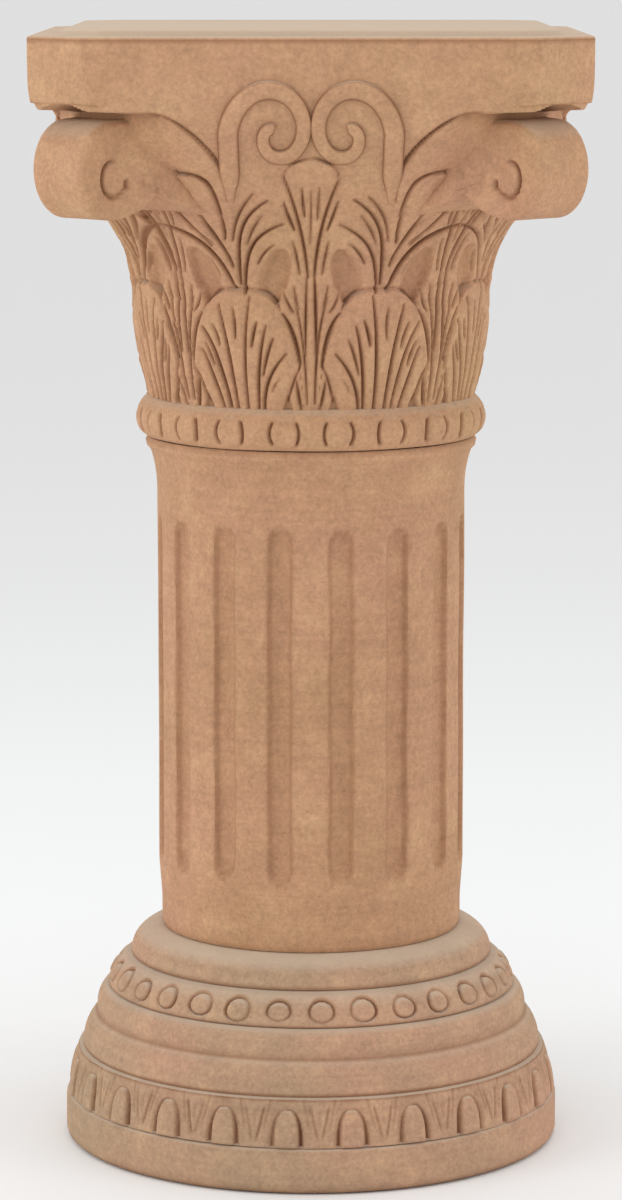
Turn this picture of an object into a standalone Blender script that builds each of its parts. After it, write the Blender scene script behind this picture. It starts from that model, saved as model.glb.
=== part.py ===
"""Terracotta column pedestal: a moulded base, a fluted shaft and a leaf-carved capital.

The three castings are stacked along Z. The frame's origin is the centre of the foot, on the
ground, and the front of the column looks along -Y. Angles run from the front towards +X.
"""
import math

import bmesh
import bpy
from mathutils import Matrix, Vector

# Height of the whole column. The shaft takes up what the base and the capital leave of it
OVERALL_HEIGHT = 0.7041
# Clearance that the stacked castings keep to each other
JOINT_GAP = 0.0003

# Facets round a full turn
BASE_STEPS = 26
SHAFT_STEPS = 28

# Base, from the ground up
FOOT_RADIUS = 0.157
FOOT_HEIGHT = 0.028
FOOT_BEVEL = 0.004
EGG_BAND_HEIGHT = 0.0295
EGG_BAND_LOW_RADIUS = 0.1550
EGG_BAND_TOP_RADIUS = 0.1480
EGG_RECESS = 0.0035
EGG_FILLET = 0.0025
LOWER_ROLL_HEIGHT = 0.0219
LOWER_ROLL_LOW_RADIUS = 0.1465
LOWER_ROLL_TOP_RADIUS = 0.1360
MIDDLE_ROLL_HEIGHT = 0.0171
MIDDLE_ROLL_LOW_RADIUS = 0.1350
MIDDLE_ROLL_TOP_RADIUS = 0.1260
BEAD_BAND_HEIGHT = 0.0198
BEAD_BAND_LOW_RADIUS = 0.1255
BEAD_BAND_TOP_RADIUS = 0.1155
TOP_ROLL_HEIGHT = 0.0197
TOP_ROLL_LOW_RADIUS = 0.1120
TOP_ROLL_TOP_RADIUS = 0.1010
ROLL_SWELL = 0.0028
ROLL_TUCK = 0.0010
BAND_LIP = 0.0005
ROLL_FACETS = 3

# Eggs, and the darts that point down between them
EGG_COUNT = 24
EGG_PHASE = math.radians(9.5)
EGG_WIDTH = 0.0156
EGG_HEIGHT = 0.0250
EGG_DEPTH = 0.0130
EGG_SINK = 0.0085
DART_WIDTH = 0.0170
DART_HEIGHT = 0.0240
DART_DEPTH = 0.0080
DART_CORNERS = 3

# Flat beads of the base
BASE_BEAD_COUNT = 30
BASE_BEAD_PHASE = math.radians(3.0)
BASE_BEAD_RADIUS = 0.0079
BASE_BEAD_PROUD = 0.0016
BASE_BEAD_TAPER = 0.8

# Shaft
SHAFT_FOOT_RADIUS = 0.0950
SHAFT_RADIUS = 0.0965
NECK_RADIUS = 0.1040
NECK_FILLET = 0.0058
NECK_FLARE_HEIGHT = 0.0250
NECK_FLARE_STEPS = (0.8, 0.5, 0.0)
NECK_LIP = 0.0010
FLUTE_COUNT = 16
FLUTE_PHASE = math.radians(180.0 / FLUTE_COUNT)
FLUTE_WIDTH = 0.0160
FLUTE_DEPTH = 0.0046
FLUTE_FOOT_MARGIN = 0.0440
FLUTE_NECK_MARGIN = 0.0455

# Bead ring under the leaves
RING_HEIGHT = 0.0250
RING_RADIUS = 0.1088
RING_EDGE_RADIUS = 0.1035
RING_BEAD_COUNT = 20
RING_BEAD_PROUD = 0.0030
RING_SHOULDER = 0.0010
# Shares of the ring's height at its rounded sections
RING_LOW_SHOULDER = 0.20
RING_MIDDLE = 0.42
RING_HIGH_SHOULDER = 0.66
RING_CREASE = 0.90

# Bell, a plain core that the leaves grow on
BELL_LOW_RADIUS = 0.0985
BELL_TOP_RADIUS = 0.1200
BELL_HEIGHT = 0.1250
BELL_CURVE = 2.6
BELL_OVERRUN = 1.35
BELL_SECTIONS = (0.0, 0.55, 1.0)

# Cove from the round bell to the square abacus
COVE_HEIGHT = 0.0580
COVE_CURVE = 1.7
COVE_RINGS = 3
# Shares of the cove's height between which the circle turns into the square
COVE_ROUND_SHARE = -0.1
COVE_SQUARE_SHARE = 0.7

# Abacus: a square slab with cut corners, and a low raised seat on it
ABACUS_WIDTH = 0.3360
ABACUS_CUT = 0.0340
ABACUS_HEIGHT = 0.0430
ABACUS_NECK_REACH = 0.1700
ABACUS_STEP = 0.0005
SEAT_HEIGHT = 0.0040
SEAT_INSET = 0.0200

# Lower row of leaves
LEAF_ROW_COUNT = 8
LOWER_LEAF_HEIGHT = 0.0730
LOWER_LEAF_PROUD = 0.0110
LOWER_LEAF_SPREAD = math.radians(17.6)
LOWER_LEAF_ROOT = math.radians(9.0)
LOWER_LEAF_FINGERS = 5

# Upper row, whose stems rise between the lower leaves
UPPER_LEAF_HEIGHT = 0.1430
UPPER_LEAF_PROUD = 0.0120
UPPER_LEAF_SPREAD = math.radians(12.0)
UPPER_LEAF_ROOT = math.radians(3.4)
UPPER_LEAF_FINGERS = 3

# Sheaths between the upper leaves, out of which the scrolls grow
SHEATH_START = 0.0720
SHEATH_HEIGHT = 0.0640
SHEATH_PROUD = 0.0110
SHEATH_SPREAD = math.radians(10.3)
SHEATH_ROOT = math.radians(3.0)
SHEATH_FINGERS = 3

# Shares of a leaf's height at which it starts to open
UPPER_LEAF_OPENING = 0.42
LOWER_LEAF_OPENING = 0.0
SHEATH_OPENING = 0.1

LEAF_GROOVE = 0.0022
LEAF_SCALLOP = 0.0030
STEMMED_LEAF_ROWS = 3
PLAIN_LEAF_ROWS = 2
LEAF_BURIED = 0.0080
LEAF_LIFT = 0.0002
LOWER_LEAF_SINK = 0.0011
SHEATH_TURN = 0.0007
# Shares of a leaf's height or proudness that shape its crown, its root and its sides
LEAF_CROWN = 0.30
LEAF_ROOT_PROUD = 0.35
LEAF_SIDE_FALL = 0.35
LEAF_RISE_SHARE = 0.8
LEAF_OPENING_CURVE = 0.7

# Corner scrolls, each a slab on a diagonal of the abacus
SCROLL_THICKNESS = 0.0456
SCROLL_ROLL_RADIUS = 0.0325
SCROLL_REACH = 0.2150
SCROLL_DROP = 0.0020
SCROLL_START = math.radians(100)
SCROLL_SWEEP = math.radians(250)
SCROLL_STEM_STEPS = (0.0, 0.35, 0.7)
SCROLL_BURIED_SHARE = 0.9
SCROLL_SPRING_RADIUS = 0.1200
SCROLL_SPRING_RISE = 0.0130
SCROLL_STEM_DEPTH = 0.0300
SCROLL_STEM_WIDTH = 0.0920
SCROLL_EYE_RADIUS = 0.0095
SCROLL_EYE_PROUD = 0.0020
SCROLL_FACETS = 9

# Helices, the pair of small scrolls in the middle of each face
HELIX_CENTRE_X = 0.0212
HELIX_DROP = 0.0141
HELIX_OUTER_RADIUS = 0.0340
HELIX_INNER_RADIUS = 0.0215
HELIX_STRETCH = 1.18
HELIX_TURNS = 1.0
# Shares of their first radius that the two edges of a helix lose in a turn, and regain by its square
HELIX_OUTER_LOSS = 0.80
HELIX_OUTER_GAIN = 0.10
HELIX_INNER_LOSS = 0.88
HELIX_PROUD = 0.0035
HELIX_DEPTH = 0.0500
HELIX_STALK_DROP = 0.0419
HELIX_STALK_OUTSET = 0.0030
HELIX_STALK_WIDTH = 0.0080
HELIX_LEAN = 0.0400
HELIX_LEAN_START = 0.0080
HELIX_LEAN_HEIGHT = 0.0520
HELIX_LEAN_CURVE = 1.5
HELIX_FACETS = 7

# Clay colours, linear red, green and blue
BASE_CLAY = (0.475, 0.300, 0.195, 1.0)
SHAFT_CLAY = (0.515, 0.292, 0.165, 1.0)
CAPITAL_CLAY = (0.510, 0.296, 0.172, 1.0)
CLAY_ROUGHNESS = 0.92
SHARP_ANGLE = math.radians(28.0)

# Heights that follow from the sizes above
EGG_BAND_Z = FOOT_HEIGHT
LOWER_ROLL_Z = EGG_BAND_Z + EGG_BAND_HEIGHT
MIDDLE_ROLL_Z = LOWER_ROLL_Z + LOWER_ROLL_HEIGHT
BEAD_BAND_Z = MIDDLE_ROLL_Z + MIDDLE_ROLL_HEIGHT
TOP_ROLL_Z = BEAD_BAND_Z + BEAD_BAND_HEIGHT
BASE_TOP_Z = TOP_ROLL_Z + TOP_ROLL_HEIGHT
SHAFT_Z = BASE_TOP_Z + JOINT_GAP
TOP_Z = OVERALL_HEIGHT
ABACUS_TOP_Z = TOP_Z - SEAT_HEIGHT
ABACUS_Z = ABACUS_TOP_Z - ABACUS_HEIGHT
COVE_Z = ABACUS_Z - COVE_HEIGHT
BELL_Z = COVE_Z - BELL_HEIGHT
CAPITAL_Z = BELL_Z - RING_HEIGHT
SHAFT_TOP_Z = CAPITAL_Z - JOINT_GAP

ABACUS_HALF = ABACUS_WIDTH / 2
ABACUS_REACH = (2 * ABACUS_HALF - ABACUS_CUT) / math.sqrt(2)
QUARTER = math.pi / 2


def clear_scene():
    for item in list(bpy.data.objects):
        bpy.data.objects.remove(item, do_unlink=True)


def make_collection(name):
    collection = bpy.data.collections.new(name)
    bpy.context.scene.collection.children.link(collection)
    return collection


def make_clay(name, colour):
    material = bpy.data.materials.new(name)
    material.use_nodes = True
    shader = material.node_tree.nodes["Principled BSDF"]
    shader.inputs["Base Color"].default_value = colour
    shader.inputs["Roughness"].default_value = CLAY_ROUGHNESS
    shader.inputs["Metallic"].default_value = 0.0
    material.diffuse_color = colour
    return material


def add_object(name, mesh, collection):
    item = bpy.data.objects.new(name, mesh)
    collection.objects.link(item)
    return item


def outward(angle):
    """Unit vector that points out of the column at an angle from the front."""
    return Vector((math.sin(angle), -math.cos(angle), 0.0))


def at(radius, angle, z):
    return outward(angle) * radius + Vector((0.0, 0.0, z))


def smooth_step(low, high, value):
    t = min(max((value - low) / (high - low), 0.0), 1.0)
    return t * t * (3.0 - 2.0 * t)


def roll(top_radius, top_z, low_radius, low_z):
    """Profile points of a swelling roll, from its upper edge to its lower one."""
    run = Vector((low_radius - top_radius, low_z - top_z))
    normal = Vector((-run.y, run.x)).normalized()
    points = []
    for step in range(ROLL_FACETS + 1):
        t = step / ROLL_FACETS
        swell = ROLL_SWELL * math.sin(math.pi * t)
        points.append((top_radius + run.x * t + normal.x * swell, top_z + run.y * t + normal.y * swell))
    return points


def turned_object(name, profile, steps, collection):
    """Turns a profile of (radius, z) points, listed from top to bottom, about Z."""
    mesh = bpy.data.meshes.new(name)
    edges = [(i, i + 1) for i in range(len(profile) - 1)]
    mesh.from_pydata([(radius, 0.0, z) for radius, z in profile], edges, [])
    item = add_object(name, mesh, collection)
    screw = item.modifiers.new("Turn", "SCREW")
    screw.steps = steps
    screw.render_steps = steps
    screw.use_merge_vertices = True
    screw.merge_threshold = 0.00005
    return item


def add_union(item, collection, name="Carving"):
    union = item.modifiers.new(name, "BOOLEAN")
    union.operation = "UNION"
    union.operand_type = "COLLECTION"
    union.collection = collection
    union.solver = "EXACT"


def add_cut(item, collection, name="Cuts"):
    cut = item.modifiers.new(name, "BOOLEAN")
    cut.operation = "DIFFERENCE"
    cut.operand_type = "COLLECTION"
    cut.collection = collection
    cut.solver = "EXACT"


def as_cutter(item):
    item.hide_render = True
    item.display_type = "WIRE"
    return item


def settle(item, clay):
    """Turns a piece and its modifiers into one plain mesh, shaded smooth except at its arrises."""
    bpy.context.view_layer.update()
    evaluated = item.evaluated_get(bpy.context.evaluated_depsgraph_get())
    item.data = bpy.data.meshes.new_from_object(evaluated)
    item.modifiers.clear()
    item.data.materials.clear()
    item.data.materials.append(clay)
    item.data.shade_smooth()
    item.data.set_sharp_from_angle(angle=SHARP_ANGLE)


def helper_from_bmesh(name, shape, collection):
    mesh = bpy.data.meshes.new(name)
    bmesh.ops.recalc_face_normals(shape, faces=shape.faces)
    shape.to_mesh(mesh)
    shape.free()
    return as_cutter(add_object(name, mesh, collection))


def facing(position, angle, lean=0.0):
    """Matrix of a thing whose +Y looks out of the column and whose Z is tipped back by lean."""
    turn = Matrix.Rotation(angle + math.pi, 4, "Z")
    tip = Matrix.Rotation(lean, 4, "X")
    return Matrix.Translation(position) @ turn @ tip


def base_profile():
    profile = [(0.0, BASE_TOP_Z)]
    profile += roll(TOP_ROLL_TOP_RADIUS, BASE_TOP_Z, TOP_ROLL_LOW_RADIUS, TOP_ROLL_Z)
    profile += [(BEAD_BAND_TOP_RADIUS, TOP_ROLL_Z - BAND_LIP), (BEAD_BAND_LOW_RADIUS, BEAD_BAND_Z)]
    profile += roll(
        MIDDLE_ROLL_TOP_RADIUS - ROLL_TUCK, BEAD_BAND_Z - ROLL_TUCK, MIDDLE_ROLL_LOW_RADIUS, MIDDLE_ROLL_Z)
    profile += roll(
        LOWER_ROLL_TOP_RADIUS - ROLL_TUCK, MIDDLE_ROLL_Z - ROLL_TUCK, LOWER_ROLL_LOW_RADIUS, LOWER_ROLL_Z)
    profile += [
        (EGG_BAND_TOP_RADIUS, LOWER_ROLL_Z - BAND_LIP),
        (EGG_BAND_TOP_RADIUS - EGG_RECESS, LOWER_ROLL_Z - EGG_FILLET),
        (EGG_BAND_LOW_RADIUS - EGG_RECESS, EGG_BAND_Z + EGG_FILLET / 2),
        (FOOT_RADIUS, EGG_BAND_Z),
        (FOOT_RADIUS, FOOT_BEVEL),
        (FOOT_RADIUS - FOOT_BEVEL, 0.0),
        (0.0, 0.0),
    ]
    return profile


def add_eggs(collection):
    lean = math.atan2(EGG_BAND_LOW_RADIUS - EGG_BAND_TOP_RADIUS, EGG_BAND_HEIGHT)
    for i in range(EGG_COUNT):
        angle = EGG_PHASE + i * 2 * math.pi / EGG_COUNT
        centre = at(EGG_BAND_LOW_RADIUS - EGG_DEPTH / 2, angle, EGG_BAND_Z + EGG_SINK)
        size = Matrix.Diagonal((EGG_WIDTH / 2, EGG_DEPTH / 2, EGG_HEIGHT - EGG_SINK, 1.0))
        shape = bmesh.new()
        bmesh.ops.create_uvsphere(
            shape, u_segments=6, v_segments=4, radius=1.0, matrix=facing(centre, angle, lean) @ size)
        helper_from_bmesh(f"egg_{i:02d}", shape, collection)


def add_darts(collection):
    lean = math.atan2(EGG_BAND_LOW_RADIUS - EGG_BAND_TOP_RADIUS, EGG_BAND_HEIGHT)
    middle_z = LOWER_ROLL_Z - DART_HEIGHT / 2
    middle_radius = (EGG_BAND_LOW_RADIUS + EGG_BAND_TOP_RADIUS) / 2 - DART_DEPTH / 2
    side = math.sqrt(DART_CORNERS)
    for i in range(EGG_COUNT):
        angle = EGG_PHASE + (i + 0.5) * 2 * math.pi / EGG_COUNT
        size = Matrix.Diagonal((DART_WIDTH / side, DART_DEPTH, DART_HEIGHT / 1.5, 1.0))
        point_down = Matrix.Rotation(-QUARTER, 4, "X")
        shape = bmesh.new()
        bmesh.ops.create_cone(
            shape, cap_ends=True, segments=DART_CORNERS, radius1=1.0, radius2=1.0, depth=1.0,
            matrix=facing(at(middle_radius, angle, middle_z), angle, lean) @ size @ point_down)
        helper_from_bmesh(f"dart_{i:02d}", shape, collection)


def add_base_beads(collection):
    lean = math.atan2(BEAD_BAND_LOW_RADIUS - BEAD_BAND_TOP_RADIUS, BEAD_BAND_HEIGHT)
    middle_radius = (BEAD_BAND_LOW_RADIUS + BEAD_BAND_TOP_RADIUS) / 2
    middle_z = (BEAD_BAND_Z + TOP_ROLL_Z) / 2
    for i in range(BASE_BEAD_COUNT):
        angle = BASE_BEAD_PHASE + i * 2 * math.pi / BASE_BEAD_COUNT
        frame = facing(at(middle_radius, angle, middle_z), angle, lean)
        shape = bmesh.new()
        bmesh.ops.create_cone(
            shape, cap_ends=True, segments=6, radius1=BASE_BEAD_RADIUS,
            radius2=BASE_BEAD_RADIUS * BASE_BEAD_TAPER, depth=BASE_BEAD_PROUD * 2,
            matrix=frame @ Matrix.Rotation(-QUARTER, 4, "X"))
        helper_from_bmesh(f"base_bead_{i:02d}", shape, collection)


def make_base(parts, clay):
    base = turned_object("base", base_profile(), BASE_STEPS, parts)
    carving = make_collection("base carving")
    add_eggs(carving)
    add_darts(carving)
    add_base_beads(carving)
    add_union(base, carving)
    settle(base, clay)


def shaft_profile():
    flare_top = SHAFT_TOP_Z - NECK_FILLET
    flare_low = flare_top - NECK_FLARE_HEIGHT
    flare = NECK_RADIUS - NECK_LIP - SHAFT_RADIUS
    profile = [(0.0, SHAFT_TOP_Z), (NECK_RADIUS, SHAFT_TOP_Z), (NECK_RADIUS, flare_top)]
    for t in NECK_FLARE_STEPS:
        profile.append((SHAFT_RADIUS + flare * t * t, flare_low + NECK_FLARE_HEIGHT * t))
    profile += [(SHAFT_FOOT_RADIUS, SHAFT_Z), (0.0, SHAFT_Z)]
    return profile


def add_flutes(collection):
    """Cutters of the flutes: balls drawn out along Z, sunk into the shaft by the flutes' depth."""
    round_radius = (FLUTE_WIDTH ** 2 / 4 + FLUTE_DEPTH ** 2) / (2 * FLUTE_DEPTH)
    low_z = SHAFT_Z + FLUTE_FOOT_MARGIN
    high_z = SHAFT_TOP_Z - FLUTE_NECK_MARGIN
    half_run = (high_z - low_z - FLUTE_WIDTH) / 2
    middle_z = (low_z + high_z) / 2
    for i in range(FLUTE_COUNT):
        angle = FLUTE_PHASE + i * 2 * math.pi / FLUTE_COUNT
        centre = at(SHAFT_RADIUS + round_radius - FLUTE_DEPTH, angle, middle_z)
        shape = bmesh.new()
        bmesh.ops.create_uvsphere(shape, u_segments=8, v_segments=5, radius=round_radius)
        for vertex in shape.verts:
            vertex.co.z += math.copysign(half_run, vertex.co.z)
        bmesh.ops.transform(shape, matrix=facing(centre, angle), verts=shape.verts)
        helper_from_bmesh(f"flute_{i:02d}", shape, collection)


def make_shaft(parts, clay):
    shaft = turned_object("shaft", shaft_profile(), SHAFT_STEPS, parts)
    flutes = make_collection("flutes")
    add_flutes(flutes)
    add_cut(shaft, flutes)
    settle(shaft, clay)


def bell_radius(z):
    """Radius of the plain bell, which opens faster towards the top."""
    t = min(max((z - BELL_Z) / BELL_HEIGHT, 0.0), BELL_OVERRUN)
    return BELL_LOW_RADIUS + (BELL_TOP_RADIUS - BELL_LOW_RADIUS) * t ** BELL_CURVE


def round_section(z, radius, bead=0.0):
    """A circle with two corners to each bead of the ring, which stand out by bead at their middles."""
    count = 2 * RING_BEAD_COUNT
    return [at(radius + bead * (i % 2), i * 2 * math.pi / count, z) for i in range(count)]


def square_section(z, half, reach, squareness=1.0):
    """A square with cut corners, or a blend of it with the circle inside it, with as many corners."""
    eighth = RING_BEAD_COUNT // 4
    corner = math.atan2(ABACUS_HALF - ABACUS_CUT, ABACUS_HALF)
    side = [corner * i / (eighth - 1) for i in range(eighth)]
    ring = []
    for quarter in range(4):
        for fold in side + [math.pi / 4] + [QUARTER - a for a in reversed(side[1:])]:
            inside = min(fold, QUARTER - fold)
            square = min(half / math.cos(inside), reach / math.cos(math.pi / 4 - inside))
            ring.append(at(half + (square - half) * squareness, quarter * QUARTER + fold, z))
    return ring


def capital_sections():
    shoulder = RING_RADIUS - RING_SHOULDER
    rings = [
        round_section(CAPITAL_Z, RING_EDGE_RADIUS),
        round_section(CAPITAL_Z + RING_HEIGHT * RING_LOW_SHOULDER, shoulder, RING_BEAD_PROUD / 2),
        round_section(CAPITAL_Z + RING_HEIGHT * RING_MIDDLE, RING_RADIUS, RING_BEAD_PROUD),
        round_section(CAPITAL_Z + RING_HEIGHT * RING_HIGH_SHOULDER, shoulder, RING_BEAD_PROUD / 2),
        round_section(CAPITAL_Z + RING_HEIGHT * RING_CREASE, RING_EDGE_RADIUS),
    ]
    for t in BELL_SECTIONS:
        z = BELL_Z + BELL_HEIGHT * t
        rings.append(round_section(z, bell_radius(z)))
    for i in range(1, COVE_RINGS + 1):
        t = i / COVE_RINGS
        out = 1.0 - (1.0 - t) ** COVE_CURVE
        half = BELL_TOP_RADIUS + (ABACUS_HALF - BELL_TOP_RADIUS) * out
        reach = BELL_TOP_RADIUS + (ABACUS_NECK_REACH - BELL_TOP_RADIUS) * out
        squareness = smooth_step(COVE_ROUND_SHARE, COVE_SQUARE_SHARE, t)
        rings.append(square_section(COVE_Z + COVE_HEIGHT * t, half, reach, squareness))
    seat_half = ABACUS_HALF - SEAT_INSET
    seat_reach = ABACUS_REACH - SEAT_INSET
    rings += [
        square_section(ABACUS_Z + ABACUS_STEP, ABACUS_HALF, ABACUS_REACH),
        square_section(ABACUS_TOP_Z, ABACUS_HALF, ABACUS_REACH),
        square_section(ABACUS_TOP_Z, seat_half, seat_reach),
        square_section(TOP_Z, seat_half, seat_reach),
    ]
    return rings


def loft(name, rings, collection):
    """Skin over closed sections of equal count, from the lowest to the highest, with flat ends."""
    shape = bmesh.new()
    loops = [[shape.verts.new(point) for point in ring] for ring in rings]
    count = len(rings[0])
    for low, high in zip(loops, loops[1:]):
        for i in range(count):
            j = (i + 1) % count
            shape.faces.new((low[i], low[j], high[j], high[i]))
    shape.faces.new(list(reversed(loops[0])))
    shape.faces.new(loops[-1])
    bmesh.ops.recalc_face_normals(shape, faces=shape.faces)
    mesh = bpy.data.meshes.new(name)
    shape.to_mesh(mesh)
    shape.free()
    return add_object(name, mesh, collection)


def add_leaf(name, centre, low_z, height, root, spread, opening, proud, fingers, rows, collection):
    """A leaf on the bell: a fan of fingers with grooves between, and a lobe at each finger's end.

    Its stem is root wide to each side and opens to spread above the share opening of its height.
    """
    columns = 2 * fingers
    front = []
    back = []
    for row in range(rows + 1):
        v = row / rows
        front_row = []
        back_row = []
        for column in range(columns + 1):
            u = 2 * column / columns - 1
            ridge = 1.0 if column % 2 else -1.0
            half = root + (spread - root) * smooth_step(opening, 1.0, v) ** LEAF_OPENING_CURVE
            crown = 1.0 - LEAF_CROWN * u * u
            z = low_z + height * v * crown + LEAF_SCALLOP * ridge * v * v
            lift = LEAF_ROOT_PROUD + (1.0 - LEAF_ROOT_PROUD) * smooth_step(0.0, LEAF_RISE_SHARE, v)
            rise = proud * lift * (1.0 - LEAF_SIDE_FALL * u * u)
            radius = bell_radius(z) + rise + ridge * LEAF_GROOVE / 2
            front_row.append(at(radius, centre + half * u, z))
            back_row.append(at(bell_radius(z) - LEAF_BURIED, centre + half * u, z))
        front.append(front_row)
        back.append(back_row)
    shape = bmesh.new()
    front = [[shape.verts.new(point) for point in row] for row in front]
    back = [[shape.verts.new(point) for point in row] for row in back]
    for row in range(rows):
        for column in range(columns):
            shape.faces.new((front[row][column], front[row][column + 1],
                             front[row + 1][column + 1], front[row + 1][column]))
    front_rim = rim_of(front)
    back_rim = rim_of(back)
    count = len(front_rim)
    for i in range(count):
        j = (i + 1) % count
        shape.faces.new((front_rim[j], front_rim[i], back_rim[i], back_rim[j]))
    inner = [vertex for row in back[1:-1] for vertex in row[1:-1]]
    for vertex in inner:
        shape.verts.remove(vertex)
    closing = [edge for edge in shape.edges if edge.is_boundary]
    bmesh.ops.triangle_fill(shape, edges=closing, use_beauty=True)
    helper_from_bmesh(name, shape, collection)


def rim_of(rows):
    """Vertices round the edge of a grid, in order."""
    right = [row[-1] for row in rows[1:-1]]
    left = [row[0] for row in rows[1:-1]]
    return rows[0] + right + list(reversed(rows[-1])) + list(reversed(left))


def add_leaves(collection):
    pitch = 2 * math.pi / LEAF_ROW_COUNT
    root_z = BELL_Z + LEAF_LIFT
    for i in range(LEAF_ROW_COUNT):
        between = (i + 0.5) * pitch
        add_leaf(f"upper_leaf_{i}", i * pitch, root_z, UPPER_LEAF_HEIGHT, UPPER_LEAF_ROOT,
                 UPPER_LEAF_SPREAD, UPPER_LEAF_OPENING, UPPER_LEAF_PROUD, UPPER_LEAF_FINGERS,
                 STEMMED_LEAF_ROWS, collection)
        add_leaf(f"lower_leaf_{i}", between, root_z - LOWER_LEAF_SINK, LOWER_LEAF_HEIGHT, LOWER_LEAF_ROOT,
                 LOWER_LEAF_SPREAD, LOWER_LEAF_OPENING, LOWER_LEAF_PROUD, LOWER_LEAF_FINGERS,
                 PLAIN_LEAF_ROWS, collection)
        add_leaf(f"sheath_{i}", between + SHEATH_TURN, BELL_Z + SHEATH_START, SHEATH_HEIGHT, SHEATH_ROOT,
                 SHEATH_SPREAD, SHEATH_OPENING, SHEATH_PROUD, SHEATH_FINGERS,
                 PLAIN_LEAF_ROWS, collection)


def outline_mesh(name, points, depth):
    """Mesh of a flat outline in the curve's XY plane, extruded by half the depth to each side."""
    curve = bpy.data.curves.new(name, "CURVE")
    curve.dimensions = "2D"
    curve.fill_mode = "BOTH"
    curve.extrude = depth / 2
    spline = curve.splines.new("POLY")
    spline.points.add(len(points) - 1)
    for point, (x, y) in zip(spline.points, points):
        point.co = (x, y, 0.0, 1.0)
    spline.use_cyclic_u = True
    carrier = bpy.data.objects.new(name, curve)
    bpy.context.scene.collection.objects.link(carrier)
    bpy.context.view_layer.update()
    evaluated = carrier.evaluated_get(bpy.context.evaluated_depsgraph_get())
    mesh = bpy.data.meshes.new_from_object(evaluated)
    bpy.data.objects.remove(carrier)
    bpy.data.curves.remove(curve)
    shape = bmesh.new()
    shape.from_mesh(mesh)
    bpy.data.meshes.remove(mesh)
    bmesh.ops.remove_doubles(shape, verts=shape.verts, dist=0.00001)
    return shape


def scroll_eye():
    """Centre of a corner scroll's roll as (distance from the axis, z)."""
    return (SCROLL_REACH - SCROLL_ROLL_RADIUS, ABACUS_Z - SCROLL_DROP - SCROLL_ROLL_RADIUS)


def scroll_outline():
    """Side view of a corner scroll as (distance from the axis, z): a stem that ends in a roll."""
    eye_x, eye_z = scroll_eye()
    points = []
    for i in range(SCROLL_FACETS + 1):
        angle = SCROLL_START - SCROLL_SWEEP * i / SCROLL_FACETS
        x = eye_x + SCROLL_ROLL_RADIUS * math.cos(angle)
        points.append((x, eye_z + SCROLL_ROLL_RADIUS * math.sin(angle)))
    top_x, top_z = points[0]
    buried_x = BELL_LOW_RADIUS * SCROLL_BURIED_SHARE
    spring_z = COVE_Z + SCROLL_SPRING_RISE
    points.append((buried_x, spring_z - SCROLL_STEM_DEPTH))
    points.append((buried_x, spring_z))
    for t in SCROLL_STEM_STEPS:
        x = SCROLL_SPRING_RADIUS + (top_x - SCROLL_SPRING_RADIUS) * t
        points.append((x, spring_z + (top_z - spring_z) * math.sin(t * QUARTER)))
    return points


def add_corner_scrolls(collection):
    """A scroll on each diagonal, whose stem spreads sideways as it comes down to the bell."""
    eye_x, eye_z = scroll_eye()
    stem_x = eye_x - SCROLL_ROLL_RADIUS / 2
    for i in range(4):
        angle = math.pi / 4 + i * QUARTER
        stand = Matrix.Rotation(angle - QUARTER, 4, "Z") @ Matrix.Rotation(QUARTER, 4, "X")
        shape = outline_mesh(f"scroll_{i}", scroll_outline(), SCROLL_THICKNESS)
        for vertex in shape.verts:
            inward = max((stem_x - vertex.co.x) / (stem_x - SCROLL_SPRING_RADIUS), 0.0)
            vertex.co.z *= 1.0 + (SCROLL_STEM_WIDTH / SCROLL_THICKNESS - 1.0) * inward
        bmesh.ops.transform(shape, matrix=stand, verts=shape.verts)
        helper_from_bmesh(f"scroll_{i}", shape, collection)
        shape = bmesh.new()
        bmesh.ops.create_cone(
            shape, cap_ends=True, segments=8, radius1=SCROLL_EYE_RADIUS, radius2=SCROLL_EYE_RADIUS,
            depth=SCROLL_THICKNESS + 2 * SCROLL_EYE_PROUD,
            matrix=stand @ Matrix.Translation((eye_x, eye_z, 0.0)))
        helper_from_bmesh(f"scroll_eye_{i}", shape, collection)


def helix_outline():
    """Front view of the left helix about its eye: a stalk that rises and winds in towards the right."""
    points = []
    for i in range(HELIX_FACETS + 1):
        t = HELIX_TURNS * i / HELIX_FACETS
        radius = HELIX_OUTER_RADIUS * (1.0 - HELIX_OUTER_LOSS * t + HELIX_OUTER_GAIN * t * t)
        points.append(spiral_point(radius, t))
    for i in range(HELIX_FACETS + 1):
        t = HELIX_TURNS * (1.0 - i / HELIX_FACETS)
        radius = HELIX_INNER_RADIUS * (1.0 - HELIX_INNER_LOSS * t)
        points.append(spiral_point(radius, t))
    foot_x = -HELIX_OUTER_RADIUS + HELIX_STALK_OUTSET + HELIX_STALK_WIDTH
    points.append((foot_x + HELIX_STALK_WIDTH / 2, -HELIX_STALK_DROP))
    points.append((foot_x - HELIX_STALK_WIDTH / 2, -HELIX_STALK_DROP))
    return points


def spiral_point(radius, turns):
    angle = math.pi - 2 * math.pi * turns
    return (radius * math.cos(angle), radius * HELIX_STRETCH * math.sin(angle))


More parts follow.
